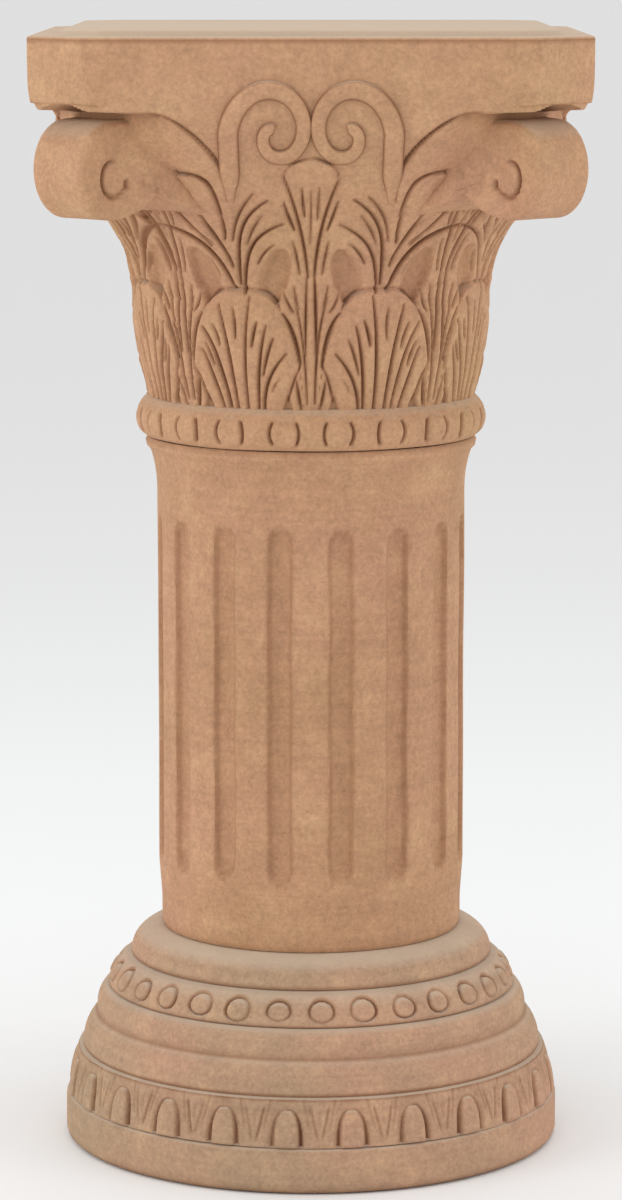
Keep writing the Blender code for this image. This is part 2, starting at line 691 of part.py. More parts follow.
def add_helices(collection):
    centre_z = ABACUS_Z - HELIX_DROP
    front = ABACUS_HALF + HELIX_PROUD
    for face in range(4):
        for side in (-1, 1):
            shape = outline_mesh("helix", helix_outline(), HELIX_DEPTH)
            for vertex in shape.verts:
                x, rise, depth = vertex.co
                z = centre_z + rise
                low = max(ABACUS_Z - HELIX_LEAN_START - z, 0.0)
                lean = HELIX_LEAN * (low / HELIX_LEAN_HEIGHT) ** HELIX_LEAN_CURVE
                y = HELIX_DEPTH / 2 - front - depth + lean
                vertex.co = (side * (HELIX_CENTRE_X - x), y, z)
            bmesh.ops.transform(shape, matrix=Matrix.Rotation(face * QUARTER, 4, "Z"), verts=shape.verts)
            helper_from_bmesh(f"helix_{face}_{'left' if side < 0 else 'right'}", shape, collection)


def make_capital(parts, clay):
    capital = loft("capital", capital_sections(), parts)
    carving = make_collection("capital carving")
    add_leaves(carving)
    add_corner_scrolls(carving)
    add_helices(carving)
    add_union(capital, carving)
    settle(capital, clay)


def main():
    clear_scene()
    parts = make_collection("column pedestal")
    make_base(parts, make_clay("base clay", BASE_CLAY))
    make_shaft(parts, make_clay("shaft clay", SHAFT_CLAY))
    make_capital(parts, make_clay("capital clay", CAPITAL_CLAY))


main()
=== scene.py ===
"""Dresses the terracotta column pedestal: fired clay surfaces, carved detail, floor, light and camera."""
import math

import bpy
import numpy as np
from bpy.props import FloatProperty, FloatVectorProperty, IntProperty, PointerProperty
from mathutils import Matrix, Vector


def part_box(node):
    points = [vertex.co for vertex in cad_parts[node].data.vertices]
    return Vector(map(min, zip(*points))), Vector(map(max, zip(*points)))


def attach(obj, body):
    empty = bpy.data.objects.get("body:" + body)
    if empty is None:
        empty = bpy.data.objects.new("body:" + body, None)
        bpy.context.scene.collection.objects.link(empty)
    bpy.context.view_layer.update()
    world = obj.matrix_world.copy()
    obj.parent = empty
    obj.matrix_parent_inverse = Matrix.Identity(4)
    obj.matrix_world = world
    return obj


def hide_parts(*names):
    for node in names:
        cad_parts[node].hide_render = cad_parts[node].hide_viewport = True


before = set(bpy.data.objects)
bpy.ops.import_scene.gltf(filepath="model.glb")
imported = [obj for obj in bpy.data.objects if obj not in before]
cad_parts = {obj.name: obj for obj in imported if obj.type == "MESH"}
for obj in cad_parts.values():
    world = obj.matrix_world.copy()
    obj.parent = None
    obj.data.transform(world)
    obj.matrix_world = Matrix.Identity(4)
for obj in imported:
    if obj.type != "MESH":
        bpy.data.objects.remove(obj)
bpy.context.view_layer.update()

bl_info = {
    "name": "Terracotta Column Pedestal",
    "version": (1, 0, 0),
    "blender": (4, 5, 0),
    "location": "3D View > Sidebar > Pedestal",
    "description": "Models the fired clay surfaces of a column pedestal round its packed frame",
    "category": "Object",
}

TURN = 2.0 * math.pi
QUARTER = math.pi / 2.0

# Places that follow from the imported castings
BASE_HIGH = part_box("base")[1]
SHAFT_LOW, SHAFT_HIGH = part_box("shaft")
CAPITAL_LOW, CAPITAL_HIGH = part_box("capital")
FOOT_RADIUS = BASE_HIGH.x
BASE_TOP = BASE_HIGH.z
NECK_RADIUS = SHAFT_HIGH.x
CAPITAL_BOTTOM = CAPITAL_LOW.z
CAPITAL_TOP = CAPITAL_HIGH.z


class ClayFinish(bpy.types.PropertyGroup):
    """Colours of the fired clay."""

    base: FloatVectorProperty(
        name="Base clay", description="Colour of the base's clay", subtype="COLOR", size=3,
        default=(0.418, 0.279, 0.175))
    shaft: FloatVectorProperty(
        name="Shaft clay", description="Colour of the shaft's clay", subtype="COLOR", size=3,
        default=(0.468, 0.266, 0.145))
    capital: FloatVectorProperty(
        name="Capital clay", description="Colour of the capital's clay", subtype="COLOR", size=3,
        default=(0.500, 0.293, 0.158))
    # Painted shade: dark colour laid in grooves, cuts and hollows where shade falls, also used for the
    # specks
    painted_shade: FloatVectorProperty(
        name="Painted shade", description="Colour that gathers in grooves and hollows", subtype="COLOR", size=3,
        default=(0.200, 0.075, 0.028))
    # Painted top light: pale colour laid on faces that look up and on the seat, where light from above falls
    painted_top_light: FloatVectorProperty(
        name="Painted Top Light", description="Pale dust on faces that look up", subtype="COLOR", size=3,
        default=(0.600, 0.485, 0.372))
    roughness: FloatProperty(
        name="Roughness", description="Roughness of the dry clay", subtype="FACTOR",
        default=0.93, min=0.0, max=1.0)


class BaseSizes(bpy.types.PropertyGroup):
    """Sizes of the base's carving."""

    eggs: IntProperty(name="Eggs", description="Number of eggs round the foot", default=24, min=3)
    egg_turn: FloatProperty(
        name="Egg turn", description="Turn of the egg next to the front", subtype="ANGLE",
        default=math.radians(9.5))
    egg_width: FloatProperty(
        name="Egg width", description="Width of an egg", unit="LENGTH", default=0.0172)
    egg_height: FloatProperty(
        name="Egg height", description="Height of an egg", unit="LENGTH", default=0.0228)
    beads: IntProperty(name="Beads", description="Number of flat beads", default=30, min=3)
    bead_turn: FloatProperty(
        name="Bead turn", description="Turn of the bead next to the front", subtype="ANGLE",
        default=math.radians(3.0))
    bead_radius: FloatProperty(
        name="Bead radius", description="Radius of the ring cut round a bead", unit="LENGTH", default=0.0076)


class ShaftSizes(bpy.types.PropertyGroup):
    """Sizes of the shaft's flutes."""

    flutes: IntProperty(name="Flutes", description="Number of flutes", default=16, min=3)
    flute_width: FloatProperty(
        name="Flute width", description="Width of a flute", unit="LENGTH", default=0.0152)
    flute_depth: FloatProperty(
        name="Flute depth", description="Depth of a flute", unit="LENGTH", default=0.0047)
    flute_bottom: FloatProperty(
        name="Flute bottom", description="Height of the flutes' lower ends over the joint", unit="LENGTH",
        default=0.0440)
    flute_length: FloatProperty(
        name="Flute length", description="Length of a flute", unit="LENGTH", default=0.2190)


class CapitalSizes(bpy.types.PropertyGroup):
    """Sizes of the capital's carving."""

    ring_beads: IntProperty(
        name="Ring beads", description="Number of beads under the leaves", default=20, min=3)
    groove: FloatProperty(
        name="Groove", description="Depth of the deepest cuts of the carving", unit="LENGTH", default=0.0030)
    columns: IntProperty(name="Columns", description="Columns of mesh to each face", default=215, min=40)
    rows: IntProperty(name="Rows", description="Rows of mesh under the abacus", default=205, min=40)


class StageSizes(bpy.types.PropertyGroup):
    """Sizes of the stage and the camera."""

    camera_back: FloatProperty(
        name="Camera distance", description="Distance from the column's axis", unit="LENGTH", default=2.722)
    camera_height: FloatProperty(
        name="Camera height", description="Height over the floor", unit="LENGTH", default=0.7593)
    camera_tilt: FloatProperty(
        name="Camera tilt", description="Angle that the camera looks down by", subtype="ANGLE",
        default=math.radians(8.7))
    lens: FloatProperty(name="Lens", description="Focal length in millimetres", default=130.5)
    floor: FloatProperty(name="Floor", description="Width of the floor", unit="LENGTH", default=130.0)


# Points and faces

# Edges that turn by more than this stay sharp in the shading
SHARP_ANGLE = math.radians(50.0)
# Seed and size of the uneven finish of each casting and of the bead ring
BASE_WOBBLE = (3, 0.00030)
SHAFT_WOBBLE = (11, 0.00028)
BELL_WOBBLE = (23, 0.0003)
RING_WOBBLE = (31, 0.0002)


def smooth_step(low, high, value):
    """0 up to the low value and 1 from the high one, with a smooth rise between."""
    t = np.clip((value - low) / (high - low), 0.0, 1.0)
    return t * t * (3.0 - 2.0 * t)


def around(columns):
    """Angles of evenly spaced columns, measured from the front towards +X."""
    return np.arange(columns) * TURN / columns


def to_space(radius, angle, z):
    """Points from polar places, as an array whose last axis is x, y, z."""
    radius, angle, z = np.broadcast_arrays(radius, angle, z)
    return np.stack([radius * np.sin(angle), -radius * np.cos(angle), z], axis=-1)


def fold(angle):
    """Angle to the nearest face centre of the square capital."""
    return np.abs((angle + QUARTER / 2.0) % QUARTER - QUARTER / 2.0)


def hand_wobble(angle, z, seed, size):
    """Slow unevenness of hand-finished clay, the same on every run."""
    rng = np.random.default_rng(seed)
    total = 0.0
    for _ in range(7):
        waves = rng.integers(1, 9)
        rise = rng.uniform(8.0, 60.0)
        shift = rng.uniform(0.0, TURN, 2)
        total = total + np.sin(waves * angle + shift[0]) * np.sin(rise * z + shift[1])
    return size * total / 3.0


def quad_faces(rows, columns):
    """Corner numbers of the faces of a grid whose columns close on themselves."""
    row = np.arange(rows - 1)[:, None]
    column = np.arange(columns)[None, :]
    after = (column + 1) % columns
    corners = (row * columns + column, row * columns + after,
               (row + 1) * columns + after, (row + 1) * columns + column)
    return np.stack(corners, axis=-1).reshape(-1, 4).tolist()


def new_piece(name, points, faces, painted_shades, material):
    """A mesh object with its painted shade mask, shaded smooth except at its sharp edges."""
    mesh = bpy.data.meshes.new(name)
    mesh.from_pydata(points.reshape(-1, 3).tolist(), [], faces)
    mesh.validate()
    # The mask is painted shade: darker colour in cuts, creases and hollows
    mask = mesh.attributes.new("painted_shade", "FLOAT", "POINT")
    mask.data.foreach_set("value", np.clip(painted_shades, 0.0, 1.0).astype(np.float32).ravel())
    mesh.materials.append(material)
    mesh.shade_smooth()
    mesh.set_sharp_from_angle(angle=SHARP_ANGLE)
    piece = bpy.data.objects.new(name, mesh)
    bpy.context.scene.collection.objects.link(piece)
    return piece


def closed_shell(points, painted_shades):
    """Points, faces and painted shade mask of a closed shell from rings, the first and last of which are
    capped.
    """
    rows, columns = points.shape[:2]
    low, high = points[0].mean(axis=0), points[-1].mean(axis=0)
    everything = np.concatenate([points.reshape(-1, 3), low[None], high[None]])
    faces = quad_faces(rows, columns)
    foot, crown, last = rows * columns, rows * columns + 1, (rows - 1) * columns
    for i in range(columns):
        j = (i + 1) % columns
        faces.append((foot, j, i))
        faces.append((crown, last + i, last + j))
    return everything, faces, np.concatenate([painted_shades.ravel(), [0.0, 0.0]])


def round_piece(name, points, painted_shades, material):
    """A closed piece from rings of points that run from the lowest to the highest."""
    return new_piece(name, *closed_shell(points, painted_shades), material)


def dress(piece, node):
    """Fixes a piece to the column and hides the casting it stands for."""
    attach(piece, "root")
    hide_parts(node)
    return piece


def along_profile(corners, spacing):
    """Evenly spaced points of a (radius, z) line, with their outward normals."""
    corners = np.array(corners)
    runs = np.hypot(*np.diff(corners, axis=0).T)
    length = np.concatenate([[0.0], np.cumsum(runs)])
    count = int(length[-1] / spacing) + 1
    where = np.linspace(0.0, length[-1], count)
    radius = np.interp(where, length, corners[:, 0])
    z = np.interp(where, length, corners[:, 1])
    slope_r = np.gradient(radius, where)
    slope_z = np.gradient(z, where)
    size = np.hypot(slope_r, slope_z)
    return radius, z, slope_z / size, -slope_r / size


def swelling(low, high, swell, steps=10):
    """(radius, z) points of a rounded moulding between two edges."""
    t = np.linspace(0.0, 1.0, steps)
    run = np.array(high) - np.array(low)
    normal = np.array([run[1], -run[0]]) / np.hypot(*run)
    lift = swell * np.sin(math.pi * t) ** 0.75
    return [tuple(np.array(low) + run * a + normal * b) for a, b in zip(t, lift)]


def soft_ring(distance, radius, width):
    """1 on a ring line and 0 away from it."""
    return np.exp(-((distance - radius) / width) ** 2)


# Base

# Radius and height of the mouldings' edges, from the lowest
EGG_BAND_LOW = (0.1550, 0.0285)
EGG_BAND_HIGH = (0.1490, 0.0572)
LOWER_ROLL_HIGH = (0.1376, 0.0790)
MIDDLE_ROLL_HIGH = (0.1308, 0.0966)
BEAD_BAND_LOW = (0.1298, 0.0975)
BEAD_BAND_HIGH = (0.1168, 0.1162)
TOP_ROLL_HIGH = (0.1030, 0.1338)
# Radius of the base's top edge, round the shaft
SHAFT_SEAT_RADIUS = 0.0968
# Rounding of the foot's lower edge, and how far the mouldings swell past the line between their edges
FOOT_EDGE = 0.0045
EGG_BAND_SWELL = 0.0012
ROLL_SWELL = 0.0026
TOP_ROLL_SWELL = 0.0034
# How deep the ends of a finer band lie inside the casting
BAND_DEPTH = 0.0045
# Fineness of the meshes: spacing of the rings along the outline, and columns round it
CASTING_SPACING, CASTING_COLUMNS = 0.0023, 480
EGG_SPACING, EGG_COLUMNS = 0.00074, 1200
BEAD_SPACING, BEAD_COLUMNS = 0.00080, 1080
# How far the eggs and beads stand proud, and the depths of the cuts round them, in the fans and between
EGG_RISE, EGG_CUT = 0.0013, 0.0028
FAN_CUT, BETWEEN_CUT = 0.0013, 0.0008
BEAD_RISE, BEAD_CUT = 0.0006, 0.0019
# Width of a fine cut, and width and darkness of the painted shade along the creases between the mouldings
FINE_CUT = 0.0009
CREASE_SHADE_WIDTH, CREASE_SHADE = 0.0010, 0.8


def foot_profile():
    """Turned outline of the base, set back where the egg band and the bead band lie over it."""
    line = [(FOOT_RADIUS - FOOT_EDGE, 0.0)]
    for step in range(1, 6):
        a = QUARTER * step / 5
        line.append((FOOT_RADIUS - FOOT_EDGE * (1.0 - math.sin(a)), FOOT_EDGE * (1.0 - math.cos(a))))
    line += [(FOOT_RADIUS, 0.0245), (FOOT_RADIUS - 0.0005, 0.0268), (FOOT_RADIUS - 0.0018, 0.0279)]
    line += [(radius - BAND_DEPTH, z) for radius, z in (EGG_BAND_LOW, EGG_BAND_HIGH)]
    line += swelling((EGG_BAND_HIGH[0] - 0.0030, EGG_BAND_HIGH[1] + 0.0006), LOWER_ROLL_HIGH, ROLL_SWELL)
    middle_low = (LOWER_ROLL_HIGH[0] - 0.0012, LOWER_ROLL_HIGH[1] + 0.0008)
    line += swelling(middle_low, MIDDLE_ROLL_HIGH, ROLL_SWELL)
    line += [(radius - BAND_DEPTH, z) for radius, z in (BEAD_BAND_LOW, BEAD_BAND_HIGH)]
    line += swelling((BEAD_BAND_HIGH[0] - 0.0022, BEAD_BAND_HIGH[1] + 0.0012), TOP_ROLL_HIGH, TOP_ROLL_SWELL)
    line += [(0.1000, BASE_TOP - 0.0012), (SHAFT_SEAT_RADIUS, BASE_TOP - 0.0002), (0.0900, BASE_TOP)]
    return line


def band_profile(low, high, swell):
    """Outline of a band whose ends are tucked into the casting."""
    start = (low[0] - BAND_DEPTH, low[1] - 0.0010)
    end = (high[0] - BAND_DEPTH, high[1] + 0.0010)
    return [start] + swelling(low, high, swell) + [end]


def egg_relief(angle, z, sizes):
    """Arched cuts round the eggs, which swell a little inside them, with fans of fine strokes between."""
    pitch = TURN / sizes.eggs
    turned = angle - sizes.egg_turn + pitch / 2.0
    number = np.floor(turned / pitch)
    across = (turned % pitch - pitch / 2.0) * EGG_BAND_LOW[0] + 0.0004 * np.sin(number * 2.3)
    h = z - EGG_BAND_LOW[1]
    s, h = np.broadcast_arrays(across, h)
    bend = np.linspace(-0.12, math.pi + 0.12, 30)
    side = np.cos(bend)
    arch_s = sizes.egg_width / 2.0 * np.sign(side) * np.abs(side) ** 0.75
    arch_h = sizes.egg_height * np.sign(np.sin(bend)) * np.abs(np.sin(bend)) ** 0.72
    arch = np.stack([arch_s, arch_h], axis=1)
    distance, share = to_path(s, h, arch)
    rise = np.sin(math.pi * share)
    heavy = 1.0 + 0.25 * np.sin(number * 1.7) * np.sign(s)
    strength = (1.0 - 0.55 * rise ** 2) * heavy
    cut = strength * np.exp(-(distance / (0.0008 + 0.0005 * (1.0 - rise))) ** 2)
    reach = (np.abs(s) / (sizes.egg_width / 2.0)) ** 2.6 + (np.clip(h, 0.0, None) / sizes.egg_height) ** 2.8
    dome = np.sqrt(np.clip(1.0 - reach, 0.0, 1.0))
    outside = smooth_step(0.95, 1.25, reach) * smooth_step(2.6, 1.5, reach)
    centre = pitch * EGG_BAND_LOW[0] / 2.0 - np.abs(s)
    lean = 0.0004 + 0.0052 * np.clip(h / sizes.egg_height, 0.0, 1.2)
    dart = soft_ring(centre, lean, FINE_CUT)
    dart = dart * smooth_step(0.0010, 0.0080, h) * smooth_step(0.0270, 0.0220, h)
    shell = soft_ring(centre, lean + 0.0031, FINE_CUT) * smooth_step(0.0070, 0.0150, h)
    spine = soft_ring(centre, 0.0, FINE_CUT)
    spine = spine * smooth_step(0.0100, 0.0160, h) * smooth_step(0.0250, 0.0200, h)
    faint = dart * (0.85 + 0.25 * np.sin(number * 3.1)) + 0.6 * shell + 0.5 * spine
    fade = smooth_step(-0.0004, 0.0012, h) * smooth_step(0.0287, 0.0272, h)
    relief = (EGG_RISE * dome - EGG_CUT * cut - BETWEEN_CUT * outside - FAN_CUT * faint) * fade
    # The second value is painted shade: darker in the cuts round the eggs, in the fans between them and just
    # outside them
    return relief, (np.clip(cut, 0.0, 1.0) + 0.5 * faint + 0.12 * outside) * fade


def bead_relief(angle, z, sizes):
    """Rings cut round flat beads, which stand a little proud inside them."""
    pitch = TURN / sizes.beads
    turned = angle - sizes.bead_turn + pitch / 2.0
    number = np.floor(turned / pitch) % sizes.beads
    middle_r = (BEAD_BAND_LOW[0] + BEAD_BAND_HIGH[0]) / 2.0 + 0.0020
    middle_z = (MIDDLE_ROLL_HIGH[1] + BEAD_BAND_HIGH[1]) / 2.0 + 0.0002
    climb = BEAD_BAND_HIGH[1] - BEAD_BAND_LOW[1]
    lean = math.hypot(BEAD_BAND_LOW[0] - BEAD_BAND_HIGH[0], climb) / climb
    s = (turned % pitch - pitch / 2.0) * middle_r + 0.0005 * np.sin(number * 2.7)
    h = (z - middle_z) * lean + 0.0004 * np.sin(number * 4.1)
    radius = sizes.bead_radius * (1.0 + 0.05 * np.sin(number * 1.9))
    distance = np.hypot(s, h * (1.0 + 0.06 * np.sin(number * 3.3)))
    heavy = 0.85 + 0.3 * np.sin(np.arctan2(h, s) + number * 1.3)
    ring = soft_ring(distance, radius, FINE_CUT) * heavy
    disc = smooth_step(radius, radius * 0.55, distance)
    inside_band = smooth_step(BEAD_BAND_LOW[1], BEAD_BAND_LOW[1] + 0.0012, z)
    inside_band = inside_band * smooth_step(BEAD_BAND_HIGH[1], BEAD_BAND_HIGH[1] - 0.0010, z)
    # The second value is painted shade in the ring cut round each bead
    return (BEAD_RISE * disc - BEAD_CUT * ring) * inside_band, ring * inside_band


def crease_shade(z, heights):
    """Mask of painted shade along the creases between the mouldings."""
    return sum(np.exp(-((z - height) / CREASE_SHADE_WIDTH) ** 2) for height in heights)


def turned_band(name, line, spacing, columns, relief_of, edges, material):
    """A closed turned piece of the base with its relief."""
    radius, z, normal_r, normal_z = along_profile(line, spacing)
    angle = around(columns)
    relief, painted_shade = relief_of(angle[None, :], z[:, None])
    unevenness = hand_wobble(angle[None, :], z[:, None], *BASE_WOBBLE) * smooth_step(0.0, 0.01, z)[:, None]
    relief = relief + unevenness
    r = radius[:, None] + relief * normal_r[:, None]
    r = np.minimum(r, FOOT_RADIUS)
    height = np.clip(z[:, None] + relief * normal_z[:, None], 0.0, BASE_TOP)
    # Painted shade in the cuts and along the creases between the mouldings
    painted_shade = painted_shade + CREASE_SHADE * crease_shade(z, edges)[:, None]
    return dress(round_piece(name, to_space(r, angle, height), painted_shade, material), "base")


def build_base(sizes, material):
    """The base's casting, and over it the egg band and the bead band."""
    def plain(angle, z):
        flat = np.zeros(np.broadcast(angle, z).shape)
        return flat, flat

    roll_edges = (EGG_BAND_HIGH[1] + 0.0008, LOWER_ROLL_HIGH[1] + 0.0006, MIDDLE_ROLL_HIGH[1] + 0.0004,
                  BEAD_BAND_HIGH[1] + 0.0012)
    turned_band("base_casting", foot_profile(), CASTING_SPACING, CASTING_COLUMNS,
                plain, roll_edges, material)
    egg_line = band_profile(EGG_BAND_LOW, EGG_BAND_HIGH, EGG_BAND_SWELL)
    turned_band("egg_band", egg_line, EGG_SPACING, EGG_COLUMNS,
                lambda angle, z: egg_relief(angle, z, sizes), (EGG_BAND_HIGH[1],), material)
    bead_line = band_profile(BEAD_BAND_LOW, BEAD_BAND_HIGH, ROLL_SWELL)
    bead_edges = (BEAD_BAND_LOW[1], BEAD_BAND_HIGH[1])
    turned_band("bead_band", bead_line, BEAD_SPACING, BEAD_COLUMNS,
                lambda angle, z: bead_relief(angle, z, sizes), bead_edges, material)


# Shaft

SHAFT_BODY_RADIUS = 0.0967
SHAFT_FOOT_RADIUS = 0.0950
# Height up to which the foot stays straight, and of the swell from there to the full radius
SHAFT_FOOT = 0.0180
SHAFT_SWELL = 0.0240
# The neck: height of its band, height of the flare under it, and how far the band stands proud of the flare
NECK_BAND = 0.0064
NECK_FLARE = 0.0290
NECK_STEP = 0.0024
SHAFT_SPACING, SHAFT_COLUMNS = 0.0036, 576
# How far the arrises between the flutes are worn, and over what width
ARRIS_WEAR, ARRIS_WIDTH = 0.0003, 0.0012
# Painted shade in a flute's bowl and along its edge
BOWL_SHADE, FLUTE_EDGE_SHADE = 0.05, 0.33


def shaft_profile():
    """Turned outline of the shaft, from its foot to its neck."""
    low, high = SHAFT_LOW.z, SHAFT_HIGH.z
    body, foot = SHAFT_BODY_RADIUS, SHAFT_FOOT_RADIUS
    line = [(foot - 0.0010, low), (foot, low + 0.0010), (foot, low + SHAFT_FOOT)]
    line += [(foot + (body - foot) * t, low + SHAFT_FOOT + SHAFT_SWELL * t) for t in (0.3, 0.7, 1.0)]
    flare_top = high - NECK_BAND
    flare_low = flare_top - NECK_FLARE
    line.append((body, flare_low))
    for step in range(1, 13):
        t = step / 12
        radius = body + (NECK_RADIUS - NECK_STEP - body) * t ** 2.2
        line.append((radius, flare_low + (flare_top - flare_low) * t))
    line += [(NECK_RADIUS - 0.0004, flare_top + 0.0006), (NECK_RADIUS, flare_top + 0.0016),
             (NECK_RADIUS, high - 0.0016), (NECK_RADIUS - 0.0005, high - 0.0005),
             (NECK_RADIUS - 0.0018, high)]
    return line


def flute_relief(angle, z, sizes):
    """Round-ended flutes with softened arrises."""
    pitch = TURN / sizes.flutes
    number = np.floor(angle / pitch)
    local = (angle % pitch) - pitch / 2.0
    s = local * SHAFT_BODY_RADIUS + 0.0004 * np.sin(number * 2.2) + 0.0003 * np.sin(z * 70.0 + number * 1.9)
    half = sizes.flute_width / 2.0
    low = SHAFT_LOW.z + sizes.flute_bottom + half + 0.0012 * np.sin(number * 3.7)
    high = SHAFT_LOW.z + sizes.flute_bottom + sizes.flute_length - half + 0.0010 * np.sin(number * 5.1)
    beyond = np.maximum(np.maximum(low - z, z - high), 0.0)
    distance = np.hypot(s, beyond)
    bowl = np.sqrt(np.clip(1.0 - (distance / half) ** 2, 0.0, 1.0)) ** 0.9
    arris = np.exp(-(np.maximum(distance - half, 0.0) / ARRIS_WIDTH) ** 2) * (distance >= half)
    relief = -sizes.flute_depth * bowl - ARRIS_WEAR * arris
    edge = np.exp(-((distance - half * 0.9) / 0.0016) ** 2)
    # The second value is painted shade in the flute's bowl and along its edge
    return relief, BOWL_SHADE * bowl + FLUTE_EDGE_SHADE * edge


def build_shaft(sizes, material):
    """The fluted shaft with its neck."""
    radius, z, normal_r, normal_z = along_profile(shaft_profile(), SHAFT_SPACING)
    angle = around(SHAFT_COLUMNS)
    relief, painted_shade = flute_relief(angle[None, :], z[:, None], sizes)
    wobble = hand_wobble(angle[None, :], z[:, None], *SHAFT_WOBBLE)
    calm = smooth_step(SHAFT_LOW.z, SHAFT_LOW.z + 0.01, z)
    calm = calm * smooth_step(SHAFT_HIGH.z, SHAFT_HIGH.z - 0.012, z)
    relief = relief + wobble * calm[:, None]
    r = radius[:, None] + relief * normal_r[:, None]
    height = z[:, None] + relief * normal_z[:, None]
    piece = round_piece("shaft_casting", to_space(r, angle, height), painted_shade, material)
    return dress(piece, "shaft")


# Capital: its outer form

MILLIMETRE = 0.001
RING_TOP = CAPITAL_BOTTOM + 0.0250
ABACUS_BOTTOM = RING_TOP + 0.1830
# Height of the low seat, and how far it is set in from the abacus's edge
SEAT_HEIGHT = 0.0040
SEAT_INSET = 0.0200
ABACUS_TOP = CAPITAL_TOP - SEAT_HEIGHT
ABACUS_HALF = 0.1680
# Length that is cut from each side at a corner, and how far the cut then lies from the axis
ABACUS_CUT = 0.0340
ABACUS_REACH = (2.0 * ABACUS_HALF - ABACUS_CUT) / math.sqrt(2.0)
# How far the cut corners draw in from the abacus's top to its foot, and where that foot lies
ABACUS_TAPER = 0.0030
ABACUS_LEDGE = ABACUS_BOTTOM + 0.0034
# Rounding of the abacus's lower and upper edges, and softness of its upright arrises and the cove's
ABACUS_EDGE = 0.0022
ABACUS_TOP_EDGE = 0.0018
ARRIS_BLEND = 0.0014
COVE_BLEND = 0.0100
# Radius of the carved faces' backs, and how far the cove's corners lie from the axis
BACKING_RADIUS = 0.0850
COVE_REACH = 0.1780
# How far the side faces are cut back under the abacus, and at what height, in millimetres
SIDE_UNDERCUT = 0.0110
SIDE_UNDERCUT_HEIGHT = 176.0

# From here on the carving's heights are millimetres over the bead ring, and its places are degrees.
# Degrees from a face's middle to the corner, and to the sheath and the lower leaf halfway
CORNER = 45.0
HALFWAY = 22.5
# Radius of the bell's ground at the middle of a face, in millimetres, by height
GROUND_HEIGHTS = (-3, 0, 20, 50, 66, 86, 96, 106, 116, 126, 140, 150, 160, 168, 176, 184, 192, 200)
GROUND_RADII = (100, 100.5, 105, 109.3, 108.6, 113, 117, 122.5, 128.5, 134, 142, 148.3, 154.8, 159.6, 163.4,
                166, 167.5, 168)
# Heights between which the round bell turns square
SQUARE_FROM, SQUARE_TO = 106.0, 154.0

# Height and half width of the lower leaf, and height of the upper one
LOWER_HEIGHT = 74.0
LOWER_HALF_WIDTH = 20.0
UPPER_HEIGHT = 155.0
# Half width of the upper leaf and its stem, by height
UPPER_HEIGHTS = (0, 20, 34, 60, 83, 96, 111, 128, 137, 143, 150, UPPER_HEIGHT)
UPPER_WIDTHS = (3.2, 4.6, 3.2, 2.4, 2.4, 3.0, 3.6, 4.3, 5.2, 5.9, 5.4, 0.5)

# Lift of the leaves over the ground in millimetres: lower leaf and its curl, upper leaf, flap and sheath
LOWER_LIFT, LOWER_CURL = 2.0, 1.3
UPPER_LIFT = 1.9
FLAP_LIFT = 3.3
SHEATH_LIFT = 2.6
# Depth in millimetres of the recesses between the leaves and of the hollows at their feet
RECESS_DEPTH, FOOT_DEPTH = 5.4, 2.6
# Lift in millimetres of the stem that leaves a sheath for the corner scroll
STEM_LIFT = 3.0

# Cuts of the carving as curves, each with its strength and then its root, bends and tip
LOWER_CUTS = (
    (1.0, (-0.8, -1), (0.2, 38), (-3.0, 70)),
    (1.0, (-4.8, 0), (-4.8, 32), (-8.3, 52)),
    (1.0, (3.0, 0), (4.6, 36), (8.0, 65)),
    (1.0, (5.6, 0), (7.6, 30), (13.8, 52)),
    (1.0, (8.4, 0), (11.0, 18), (14.8, 37)),
    (1.0, (-6.5, 0), (-6.6, 20), (-14.6, 35)),
    (0.7, (2.4, 44), (1.8, 54), (2.6, 62)),
    (0.7, (7.7, 39), (8.6, 45), (10.0, 52)),
    (0.8, (10.5, 27), (11.8, 34), (13.2, 41)),
    (0.9, (-3.1, 40), (-4.0, 48), (-5.4, 55)),
    (0.8, (-6.9, 23), (-8.4, 37), (-10.7, 44)),
    (0.4, (-9.6, 12), (-10.6, 16), (-12.1, 19)),
    (0.6, (13.2, 2), (14.6, 7), (16.3, 11)),
)
UPPER_CUTS = (
    (1.0, (1.6, 34), (1.6, 60), (1.2, 83)),
    (1.1, (1.2, 83), (2.2, 112), (6.4, 142)),
    (0.8, (1.4, 4), (1.7, 44), (5.2, 69)),
    (1.1, (3.6, 29), (4.8, 50), (8.8, 60)),
    (0.8, (7.7, 6), (6.6, 15), (3.6, 29)),
    (0.8, (5.8, 60), (7.4, 64), (8.6, 72)),
    (0.6, (4.0, 62), (4.6, 68), (5.2, 76)),
    (0.9, (3.0, 1), (4.1, 10), (4.7, 19)),
    (0.8, (1.7, 119), (2.0, 126), (2.3, 137)),
    (0.5, (0.1, 103), (-0.1, 118), (0.1, 134)),
    (0.9, (4.6, 111), (5.7, 119), (6.8, 128)),
    (0.7, (3.3, 84), (4.1, 95), (5.0, 104)),
    (0.4, (6.4, 142), (6.6, 152), (0.0, 155)),
)
STEM_EDGE = ((-1.4, 128), (-3.8, 158), (3.5, 166), (6.5, 184), (15.0, 181))
